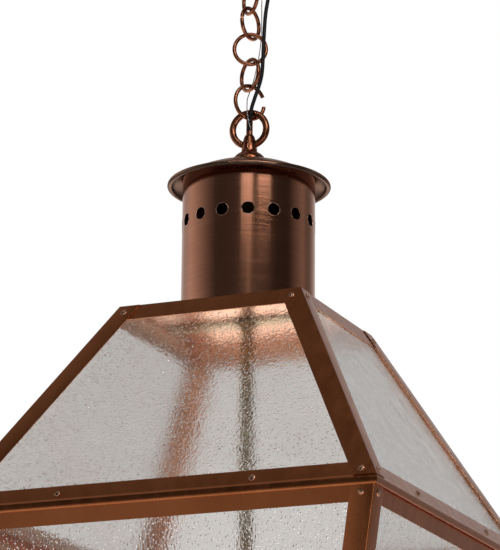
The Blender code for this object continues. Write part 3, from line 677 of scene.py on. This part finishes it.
def make_chain():
    for n, turn in LINK_TURNS.items():
        node = f"chain_link_{n}"
        tall = (high(node)[2] - low(node)[2]) / 2 - LINK_STOCK
        start, end = LINK_ENDS.get(n, (0, 360))
        make_ring(f"link_{n}_rod", f"link_{n}", node, turn, link_middle(n), LINK_RADIUS, tall, LINK_STOCK,
                  start, end)


def fuse(target, tools, operation="UNION"):
    """Boolean with each tool in turn, applied to the mesh, and the tools removed."""
    for tool in tools:
        step = target.modifiers.new("fuse", "BOOLEAN")
        step.operation = operation
        step.object = tool
        step.solver = "EXACT"
    bpy.context.view_layer.update()
    graph = bpy.context.evaluated_depsgraph_get()
    mesh = bpy.data.meshes.new_from_object(target.evaluated_get(graph))
    for thing in [target, *tools]:
        bpy.data.objects.remove(thing, do_unlink=True)
    return mesh


def loose(name, vertices, faces):
    """An object for a Boolean, in no body."""
    mesh = tidy_mesh(name, vertices, faces)
    face_outward(mesh)
    made = bpy.data.objects.new(name, mesh)
    bpy.context.scene.collection.objects.link(made)
    return made


def ring_solid(turn, z, radius, stock):
    """Vertices and faces of a plain closed ring."""
    normal = ring_axis(turn)
    rings = []
    for t in circle(RING_STEPS):
        place = ring_point(turn, z, radius, radius, t)
        outward = (place - Vector((0, 0, z))).normalized()
        rings.append([place + stock * (math.cos(a) * outward + math.sin(a) * normal)
                      for a in circle(RING_SIDES)])
    return loft(rings, closed_along=True)


def ring_with_hub(name, node, body, turn, z, radius, stock, hub, bore):
    """A closed ring fused to a turned hub.

    Known fault: the bore should be cut out, but fuse adds it, so it is a solid core.
    """
    ring = loose(name + "_ring", *ring_solid(turn, z, radius, stock))
    turned = loose(name + "_hub", *lathe([tuple(p) for p in rounded(hub, 0.0012, 5)], 96))
    hole = loose(name + "_bore", *lathe(bore, 48))
    mesh = fuse(ring, [turned, hole])
    return dress(name, mesh, "chain_copper", body, (node,), 32)


# ---------------------------------------------------------------- hub, cap, chimney and stem

HANGING_RING_TURN = 8
HANGING_RING_HEIGHT = 0.2810
HANGING_RING_RADIUS = 0.02445
HANGING_RING_STOCK = 0.0048
STEM_TOP = 0.2392
STEM_FOOT = -0.640
STEM_RADIUS = 0.00855
WIRE_BORE = 0.0046
CAP_RADIUS = 0.1113
CAP_ROLL = 0.0035
CAP_RIM_HEIGHT = 0.1955
CAP_CROWN_HEIGHT = 0.2313
CAP_CURVE = 2.9
CHIMNEY_HEIGHT = 0.2035
VENT_RADIUS = 0.009
VENT_HEIGHT = 0.1363
VENT_COUNT = 16


def make_hanging_ring():
    foot = CAP_CROWN_HEIGHT + GAP
    hub = above_roof([
        (0, 0.2723), (0.0058, 0.2723), (0.0076, 0.2690), (0.0088, 0.2645), (0.0102, 0.2575), (0.0111, 0.2510),
        (0.0112, 0.2480), (0.0130, 0.2455), (0.0172, 0.2430), (0.0205, 0.2400), (0.0228, 0.2365),
        (0.0232, foot), (0, foot),
    ])
    seat = 0.2398
    bore = above_roof([
        (0, 0.300), (WIRE_BORE, 0.300), (WIRE_BORE, seat + 0.0005), (STEM_RADIUS + 0.0005, seat),
        (STEM_RADIUS + 0.0005, foot - 0.01), (0, foot - 0.01),
    ])
    ring_with_hub("ring_and_hub", "hanging_ring", "lantern", HANGING_RING_TURN, ROOF_Z + HANGING_RING_HEIGHT,
                  HANGING_RING_RADIUS, HANGING_RING_STOCK, hub, bore)


def cap_height(radius):
    return CAP_CROWN_HEIGHT - CAP_CURVE * radius**2


def make_cap():
    bore, edge, count = STEM_RADIUS + 0.0006, 0.1062, 26
    radii = [bore + (edge - bore) * k / count for k in range(count + 1)]
    outside = [(r, cap_height(r)) for r in radii]
    inside = [(r, cap_height(r) - SHEET) for r in reversed(radii)]
    turns = [math.radians(112 - 292 * k / 22) for k in range(23)]
    roll = [(CAP_RADIUS + CAP_ROLL * math.cos(t), CAP_RIM_HEIGHT + CAP_ROLL * math.sin(t)) for t in turns]
    turned_piece("rain_cap", above_roof([*outside, *roll, *inside]), 160, "cap_copper", "lantern", ("cap",),
                 shake=0.0003, soften=0)


def vent_edge(k, a):
    """The point at angle a round the edge of vent k, on the chimney's face."""
    turn = 2 * math.pi * k / VENT_COUNT + math.asin(VENT_RADIUS * math.cos(a) / CHIMNEY_RADIUS)
    height = ROOF_Z + VENT_HEIGHT + VENT_RADIUS * math.sin(a)
    return Vector((CHIMNEY_RADIUS * math.cos(turn), CHIMNEY_RADIUS * math.sin(turn), height))


def make_chimney():
    inside = CHIMNEY_RADIUS - SHEET
    wall = [(inside, CHIMNEY_HEIGHT), (CHIMNEY_RADIUS, CHIMNEY_HEIGHT), (CHIMNEY_RADIUS, GAP), (inside, GAP)]
    drum = loose("drum", *lathe(above_roof(wall), 192))
    cutters = []
    for k, turn in enumerate(circle(VENT_COUNT)):
        rings = []
        for depth in (-0.012, 0.012):
            out = Vector((math.cos(turn), math.sin(turn), 0))
            level = Vector((-math.sin(turn), math.cos(turn), 0))
            centre = out * (CHIMNEY_RADIUS + depth) + Vector((0, 0, ROOF_Z + VENT_HEIGHT))
            rings.append([centre + VENT_RADIUS * (math.cos(a) * level + Vector((0, 0, math.sin(a))))
                          for a in circle(40)])
        cutters.append(loose(f"vent_{k}", *loft(rings, caps=True)))
    dress("chimney_drum", fuse(drum, cutters, "DIFFERENCE"), "brushed_copper", "lantern", ("chimney",), 40)

    burr = 0.00035
    vertices, faces = [], []
    for k in range(VENT_COUNT):
        path = [vent_edge(k, a) for a in circle(48)]
        centre = sum(path, Vector()) / len(path)
        rings = []
        for place in path:
            away = (place - centre).normalized()
            out = Vector((place.x, place.y, 0)).normalized()
            rings.append([place + burr * (math.cos(a) * away + math.sin(a) * out)
                          for a in circle(8)])
        join_to(vertices, faces, *loft(rings, closed_along=True))
    new_piece("vent_burrs", vertices, faces, "bright_edge", "lantern")


def make_stem():
    bore = 0.0060
    wall = [(bore, STEM_TOP), (STEM_RADIUS, STEM_TOP), (STEM_RADIUS, STEM_FOOT), (bore, STEM_FOOT)]
    turned_piece("stem_tube", above_roof(wall), 48, "aged_brass", "lantern", ("stem",), soften=0.0004)


# ---------------------------------------------------------------- roof and body metalwork


def pushed(start, end, segments, shake, seed):
    """Loft one closed outline to another in a straight line, with the slight waves of hand-folded sheet."""
    rings = []
    for i in range(segments + 1):
        t = i / segments
        ring = []
        for a, b in zip(start, end):
            place = a.lerp(b, t)
            wave = noise.noise_vector(place * 9 + Vector((seed, 0, 0)))
            ring.append(place + shake * wave)
        rings.append(ring)
    return loft(rings, caps=True)


def folded_corner(name, node, body, width, thick, bottom, top, turn, seed):
    """A folded angle up a corner: an L section with a soft fold, pushed up the slope."""
    (half, foot), (top_half, head) = bottom, top
    section = [(0, 0), (0, width), (-thick, width), (-thick, thick), (-width, thick), (-width, 0)]
    outline = rounded(section, 0.0016, 4)
    spin = Matrix.Rotation(math.radians(turn), 4, "Z")
    start = [spin @ Vector((half + p.x, -half + p.y, foot)) for p in outline]
    end = [spin @ Vector((top_half + p.x, -top_half + p.y, head)) for p in outline]
    vertices, faces = pushed(start, end, 28, 0.00012, seed)
    new_piece(name, vertices, faces, "antique_copper", body, (node,), 50)


def make_corners():
    thick = SHEET / math.cos(math.atan2(EAVE_HALF - ROOF_TOP_HALF, ROOF_Z - EAVE_Z))
    foot = EAVE_Z + 0.0015
    foot_half = ROOF_TOP_HALF + (EAVE_HALF - ROOF_TOP_HALF) * (ROOF_Z - foot) / (ROOF_Z - EAVE_Z)
    for seed, (name, turn) in enumerate(CORNERS.items()):
        folded_corner(f"hip_{name}", f"hip_strip_{name}", "lantern", HIP_WIDTH, thick, (foot_half, foot),
                      (ROOF_TOP_HALF, ROOF_Z), turn, seed)
        folded_corner(f"post_{name}", f"corner_post_{name}", "lantern", POST_WIDTH, POST_THICK,
                      (BODY_BOTTOM_HALF, BODY_BOTTOM_Z), (BODY_TOP_HALF, BODY_TOP_Z), turn, seed + 4)


def section_at(face, s, level):
    """(half side, height) on a front-facing side."""
    place = face.at(0, s, level)
    return -place.y, place.z


UNDER_HIP = -(SHEET + GAP)
UNDER_POST = -(POST_THICK + GAP)
ROOF_GLASS_LEVEL = UNDER_HIP - SHEET - GAP
BODY_GLASS_LEVEL = UNDER_POST - SHEET - GAP


def make_eaves():
    face = roof_face("front")
    start = face.slope - STRIP_WIDTH
    roll_out, roll_in = EAVE_HALF + 0.0002, BODY_TOP_HALF + 0.0007
    top_z, bottom_z = EAVE_Z - 0.0008, EAVE_Z - 0.0108
    outline = rounded([
        section_at(face, start, UNDER_HIP), section_at(face, face.slope - 0.003, UNDER_HIP),
        (roll_out - 0.0008, top_z), (roll_out, top_z - 0.002), (roll_out, bottom_z + 0.003),
        (roll_out - 0.0009, bottom_z + 0.0009), (roll_out - 0.0020, bottom_z), (roll_in, bottom_z + 0.0004),
        (roll_in, top_z - 0.0025), section_at(face, face.slope - 0.004, UNDER_HIP - SHEET),
        section_at(face, start, UNDER_HIP - SHEET),
    ], 0.0011, 4)
    for seed, (name, turn) in enumerate(FACES.items()):
        spin = Matrix.Rotation(math.radians(turn), 4, "Z")
        left = [spin @ Vector((-p.x + GAP, -p.x, p.y)) for p in outline]
        right = [spin @ Vector((p.x - GAP, -p.x, p.y)) for p in outline]
        vertices, faces = pushed(left, right, 48, 0.00012, seed + 8)
        new_piece(f"eave_{name}", vertices, faces, "antique_copper", "lantern", (f"eave_strip_{name}",), 50)


def rippled_pane(name, node, body, place, seed, columns=36, rows=36):
    """A slab of drawn glass; place(a, b, side) gives a point for a and b from 0 to 1 on either face."""
    shake = 0.00012
    vertices, faces = [], []
    for side in (0, 1):
        for j in range(rows + 1):
            for i in range(columns + 1):
                point, out = place(i / columns, j / rows, side)
                vertices.append(point + out * shake * noise.noise(point * 45 + Vector((seed, side * 7, 0))))
    stride, layer = columns + 1, (columns + 1) * (rows + 1)
    for side in (0, 1):
        for j in range(rows):
            for i in range(columns):
                a = side * layer + j * stride + i
                faces.append((a, a + 1, a + 1 + stride, a + stride))
    rim = list(range(stride))
    rim += [j * stride + columns for j in range(1, rows + 1)]
    rim += [rows * stride + i for i in range(columns - 1, -1, -1)]
    rim += [j * stride for j in range(rows - 1, 0, -1)]
    for a, b in zip(rim, rim[1:] + rim[:1]):
        faces.append((a, b, b + layer, a + layer))
    new_piece(name, vertices, faces, "seeded_glass", body, (node,), 30)


def face_pane(name, node, body, face, s0, s1, inset, level, seed):
    out = (face.matrix.to_3x3() @ Vector((0, 0, 1))).normalized()

    def place(a, b, side):
        s = s0 + (s1 - s0) * b
        half = face.half(s) - inset
        return face.at(-half + 2 * half * a, s, level - GLASS * side), out

    rippled_pane(name, node, body, place, seed)


PANE_INSET = 0.012              # how far a pane's edge lies in from the edge of its side
DOOR_GAP = 0.0015
DOOR_STRIP = 0.022
DOOR_THICK = 0.003
DOOR_INSET = POST_WIDTH + DOOR_GAP


def door_span(face):
    """Where the door starts and ends down the slope of its side."""
    return RAIL_HEIGHT + DOOR_GAP, face.slope - RAIL_HEIGHT - DOOR_GAP


def make_panes():
    for seed, name in enumerate(FACES):
        face = roof_face(name)
        face_pane(f"roof_pane_{name}", f"roof_glass_{name}", "lantern", face, PANE_INSET,
                  face.slope - 0.008, PANE_INSET, ROOF_GLASS_LEVEL, seed * 11)
        face = body_face(name)
        if name != "left":
            face_pane(f"body_pane_{name}", f"body_glass_{name}", "lantern", face, PANE_INSET,
                      face.slope - 0.014, PANE_INSET, BODY_GLASS_LEVEL, seed * 11 + 5)
    face = body_face("left")
    s0, s1 = door_span(face)
    face_pane("door_pane", "door_glass", "door", face, s0 + PANE_INSET, s1 - PANE_INSET,
              DOOR_INSET + PANE_INSET, -DOOR_THICK - GAP, 77)
    corner, top = low("bottom_glass"), high("bottom_glass")

    def place(a, b, side):
        return Vector((corner[0] + (top[0] - corner[0]) * a, corner[1] + (top[1] - corner[1]) * b,
                       corner[2] + 0.00015 + (GLASS - 0.0003) * side)), Vector((0, 0, 1))

    rippled_pane("bottom_pane", "bottom_glass", "lantern", place, 91)


# ---------------------------------------------------------------- rivets and screws

RIVET_RADIUS = 0.0044
RIVET_HEIGHT = 0.0021
RIVET_INSET = 0.0165            # from the corner of a side
MIDDLE_RIVET = 0.136            # from the middle of an eave


def dome(matrix, radius, height, vertices, faces):
    """A round head on a surface: a shallow dome with a short upright edge."""
    profile = [(radius, -0.0002), (radius, height * 0.18)]
    profile += [(radius * math.cos(t), height * (0.18 + 0.82 * math.sin(t)))
                for t in (math.radians(90 * k / 7) for k in range(1, 8))]
    rings = [[matrix @ Vector((r * math.cos(a), r * math.sin(a), z)) for a in circle(24)]
             for r, z in profile]
    join_to(vertices, faces, *loft(rings, caps=True))


def heads(name, material, body, places, radius, height):
    vertices, faces = [], []
    shaker = random.Random(len(name))
    for face, u, s, level in places:
        tilt = Matrix.Rotation(math.radians(shaker.uniform(-5, 5)), 4, "X") @ Matrix.Rotation(
            math.radians(shaker.uniform(-5, 5)), 4, "Y")
        size = radius * shaker.uniform(0.94, 1.06)
        dome(face.matrix @ Matrix.Translation((u, -s, level)) @ tilt, size, height, vertices, faces)
    new_piece(name, vertices, faces, material, body, smooth=60)


def make_rivets():
    for name in FACES:
        face = roof_face(name)
        top, foot = 0.0130, face.slope - 0.0120
        places = []
        for side in (-1, 1):
            places.append((face, side * (face.half(top) - RIVET_INSET), top, 0.0))
            places.append((face, side * (face.half(foot) - RIVET_INSET), foot, 0.0))
            places.append((face, side * MIDDLE_RIVET, foot, UNDER_HIP))
        heads(f"roof_rivets_{name}", "rivet_copper", "lantern", places, RIVET_RADIUS, RIVET_HEIGHT)
        face = body_face(name)
        places = []
        for side in (-1, 1):
            for s in (0.0150, face.slope - 0.0135):
                places.append((face, side * (face.half(s) - RIVET_INSET), s, 0.0))
        heads(f"post_rivets_{name}", "rivet_copper", "lantern", places, RIVET_RADIUS, RIVET_HEIGHT)


def door_axes(s, side, inset):
    """Axes on the door's face: X in towards the door from one side edge, Y up that edge, Z out."""
    face = body_face("left")
    rise = (face.bottom_half - face.top_half) / face.slope
    place = Vector((side * (face.half(s) - inset), -s, 0))
    up = Vector((-side * rise, 1, 0)).normalized()
    out = Vector((0, 0, 1))
    across = up.cross(out)
    return face.matrix @ Matrix.Translation(place) @ Matrix((across, up, out)).transposed().to_4x4()


def make_door_hardware():
    face = body_face("left")
    s0, s1 = door_span(face)
    setback, reach, leaf_top = 0.085, 0.0125, GAP + 0.0014
    post_side, door_side = ([], []), ([], [])
    for s in (s0 + setback, s1 - setback):
        axes = door_axes(s, -1, POST_WIDTH + DOOR_GAP / 2)
        dome(axes @ Matrix.Translation((-reach, -0.010, leaf_top)), 0.0026, 0.0010, *post_side)
        dome(axes @ Matrix.Translation((reach, 0.010, leaf_top)), 0.0026, 0.0010, *door_side)
    new_piece("hinge_screws_post", *post_side, "aged_brass", "lantern", smooth=60)
    new_piece("hinge_screws_door", *door_side, "aged_brass", "door", smooth=60)
    places = [(face, side * (face.half(s) - DOOR_INSET - DOOR_STRIP / 2), s, 0.0)
              for side in (-1, 1) for s in (s0 + DOOR_STRIP / 2, s1 - DOOR_STRIP / 2)]
    heads("door_rivets", "rivet_copper", "door", places, RIVET_RADIUS * 0.8, RIVET_HEIGHT * 0.8)

    axes = door_axes((s0 + s1) / 2, 1, DOOR_INSET + DOOR_STRIP / 2)
    profile = rounded([(0, 0.0200), (0.0050, 0.0192), (0.0078, 0.0165), (0.0085, 0.0130), (0.0070, 0.0098),
                       (0.0040, 0.0078), (0.0036, 0.0040), (0.0075, 0.0022), (0.0080, GAP), (0, GAP)],
                      0.0008, 3)
    vertices, faces = lathe([tuple(p) for p in profile], 48)
    mesh = tidy_mesh("knob", [axes @ Vector(v) for v in vertices], faces)
    dress("knob", mesh, "aged_brass", "door", ("door_knob",))


# ---------------------------------------------------------------- canopy and lamps


NIPPLE_RADIUS = 0.0049


def make_canopy():
    canopy_radius, depth = 0.070, 0.034
    bore = NIPPLE_RADIUS + 0.0006
    crown, rim, rim_z = 0.016, canopy_radius - 0.0044, -0.006
    quarter = [math.radians(90 * k / 16) for k in range(17)]

    def bowl(shrink):
        return [(crown + (rim - crown - shrink) * math.cos(t), rim_z - (depth + rim_z - shrink) * math.sin(t))
                for t in quarter]

    lip = rounded([(rim - SHEET, 0), (canopy_radius - 0.001, 0), (canopy_radius, -0.0022),
                   (canopy_radius - 0.001, -0.0044)], 0.0009, 3)
    profile = [*[tuple(p) for p in lip], *bowl(0), (bore, -depth), (bore, -depth + SHEET),
               *reversed(bowl(SHEET))]
    turned_piece("canopy_bowl", profile, 128, "canopy_copper", "canopy", ("canopy",), shake=0.0002, soften=0)

    ring_z, ring_radius, stock = -0.066, 0.0185, 0.0035
    top, waist = -depth - GAP, ring_z + ring_radius
    hub = [(0, top), (0.0150, top), (0.0155, top - 0.003), (0.0120, top - 0.005), (0.0088, top - 0.0065),
           (0.0085, waist - 0.002), (0.0072, waist - 0.005), (0.0058, waist - 0.0068), (0, waist - 0.0068)]
    nipple = NIPPLE_RADIUS + 0.0004
    bore = [(0, 0.01), (nipple, 0.01), (nipple, waist + 0.0001),
            (WIRE_BORE, waist - 0.0004), (WIRE_BORE, waist - 0.012), (0, waist - 0.012)]
    ring_with_hub("canopy_ring", "canopy_loop", "canopy", -30, ring_z, ring_radius, stock, hub, bore)


LAMP_CIRCLE = 0.062
SLEEVE_RADIUS = 0.0125
SOCKET_RADIUS = 0.0095
BULB_RADIUS = 0.0175


def drip_sleeve(name, node, centre, foot, head):
    """A candle tube with wax-like runs from its lip."""
    cx, cy = centre
    rows, sides = 40, 56
    outer, inner = [], []
    for j in range(rows + 1):
        z = foot + (head - foot) * j / rows
        outer_ring, inner_ring = [], []
        for a in circle(sides):
            run = noise.noise(Vector((math.cos(a) * 1.9 + len(name), math.sin(a) * 1.9, 0)))
            reach = head - 0.030 * max(0.0, run + 0.12) - 0.003
            swell = 0.0007 / (1 + math.exp(-(z - reach) / 0.0012))
            radius = SLEEVE_RADIUS - 0.0008 + swell
            outer_ring.append((cx + radius * math.cos(a), cy + radius * math.sin(a), z))
            inner_ring.append((cx + (SLEEVE_RADIUS - 0.0015) * math.cos(a),
                               cy + (SLEEVE_RADIUS - 0.0015) * math.sin(a), z))
        outer.append(outer_ring)
        inner.append(inner_ring)
    vertices, faces = loft([*outer, *reversed(inner)], closed_along=True)
    new_piece(name, vertices, faces, "ivory_sleeve", "lantern", (node,), 50)


def filament(name, centre, foot):
    """Two posts and a coiled wire between them."""
    cx, cy = centre
    top = foot + 0.034
    points = [Vector((cx - 0.0030, cy, foot)), Vector((cx - 0.0042, cy, top))]
    turns, across = 9, 0.0084
    for k in range(turns * 10 + 1):
        t = k / (turns * 10)
        a = 2 * math.pi * turns * t
        points.append(Vector((cx - across / 2 + across * t, cy + 0.0011 * math.sin(a),
                              top + 0.004 * math.sin(math.pi * t) + 0.0011 * (1 - math.cos(a)))))
    points += [Vector((cx + 0.0042, cy, top)), Vector((cx + 0.0030, cy, foot))]
    vertices, faces = loft(tube_rings(points, 0.00022, 6), caps=True)
    new_piece(name, vertices, faces, "tinned_wire", "lantern")


def make_lamps():
    tray = STEM_FOOT + 0.003
    hole = STEM_RADIUS + 0.0005
    rim = 0.092
    turned_piece("cluster_turning", above_roof([
        (0, tray - 0.0038), (hole, tray - 0.0038), (hole, tray + 0.029), (0.0150, tray + 0.029),
        (0.0170, tray + 0.023), (0.0140, tray + 0.015), (0.0150, tray + 0.002), (0.0250, tray),
        (rim - 0.005, tray), (rim - 0.0008, tray + 0.006), (rim, tray + 0.0055),
        (rim - 0.004, tray - 0.0022), (0.0300, tray - 0.0025), (0.0220, tray - 0.008),
        (0.0120, tray - 0.023), (0.0070, tray - 0.035), (0.0095, tray - 0.041), (0.0060, tray - 0.046),
        (0, tray - 0.048),
    ]), 128, "aged_brass", "lantern", ("cluster_body",), soften=0.0012)

    foot = tray + GAP
    head = foot + 0.100
    socket_top = foot + 0.085
    well = socket_top - 0.026
    neck = head - 0.001
    cap_radius, wall = 0.0064, 0.0006
    socket = above_roof([(0, well), (0.0072, well), (0.0072, socket_top), (SOCKET_RADIUS, socket_top),
                         (SOCKET_RADIUS, foot), (0, foot)])
    outside = [(0.0008, 0.0900), (0.0035, 0.0840), (0.0080, 0.0715), (0.0130, 0.0555), (0.0163, 0.0410),
               (BULB_RADIUS, 0.0290), (0.0162, 0.0170), (0.0125, 0.0080), (0.0088, 0.0030),
               (cap_radius, 0.0006)]
    envelope = [(0, 0.0902), *outside]
    inner = [(max(0.0, r - wall), h - wall * (0.5 if h < 0.06 else 1.4)) for r, h in reversed(envelope)]
    envelope = [(r, neck + h) for r, h in [*envelope, *inner[:-1], (0, 0.0885)]]
    threads = [(0, well + 0.001), (0.0030, well + 0.001), (cap_radius - 0.0004, well + 0.0035)]
    for k in range(10):
        z = well + 0.004 + (neck - well - 0.006) * k / 10
        threads += [(cap_radius, z + 0.0012), (cap_radius - 0.0006, z + 0.0024)]
    threads += [(cap_radius - 0.0002, neck), (0, neck)]
    threads.reverse()
    for k in range(3):
        turn = math.radians(90 + 120 * k)
        centre = (LAMP_CIRCLE * math.cos(turn), LAMP_CIRCLE * math.sin(turn))
        drip_sleeve(f"sleeve_{k + 1}", f"candle_sleeve_{k + 1}", centre, ROOF_Z + foot, ROOF_Z + head)
        turned_piece(f"socket_{k + 1}", socket, 48, "phenolic", "lantern", (f"lamp_socket_{k + 1}",), centre,
                     soften=0.0005)
        turned_piece(f"lamp_{k + 1}", above_roof(envelope), 64, "lamp_glass", "lantern", (f"bulb_{k + 1}",),
                     centre, soften=0)
        turned_piece(f"lamp_cap_{k + 1}", above_roof(threads), 40, "aged_brass", "lantern", centre=centre,
                     soften=0)
        filament(f"filament_{k + 1}", centre, ROOF_Z + neck + 0.001)


def soften_cad_nodes():
    """Every CAD piece gets its record's material; the listed ones and the hinges also get a small worn edge.
    """
    slots = {part["node"]: part["material_slot"] for part in frame["record"]["subparts"]}
    bevels = {"top_plate": 0.0004, "body_top_frame": 0.0004, "bottom_frame": 0.0004, "door_frame": 0.0007,
              "door_catch": 0.0004, "support_bar": 0.0006, "stem_nut": 0.0008, "strap_nut": 0.0006,
              "ceiling_strap": 0.0005}
    for node, thing in frame["nodes"].items():
        thing.data.materials.clear()
        thing.data.materials.append(MATERIALS[slots[node]])
        width = 0.0003 if node.startswith("hinge") else bevels.get(node)
        if width:
            edge = thing.modifiers.new("worn_edge", "BEVEL")
            edge.width = width
            edge.segments = 3
            edge.limit_method = "ANGLE"
            edge.angle_limit = math.radians(35)


# ---------------------------------------------------------------- the lantern

make_camera()
make_world()
make_lights()
make_floor()
make_cord("cord", CORD_ROUTE, CORD_RADIUS, 20, "cord_jacket", "supply_cord")
make_cord("ground", GROUND_ROUTE, GROUND_RADIUS, 12, "tinned_wire", "ground_wire")
soften_cad_nodes()
make_canopy()
make_chain()
make_hanging_ring()
make_cap()
make_chimney()
make_stem()
make_corners()
make_eaves()
make_panes()
make_rivets()
make_door_hardware()
make_lamps()

bpy.context.scene.view_settings.view_transform = "Standard"
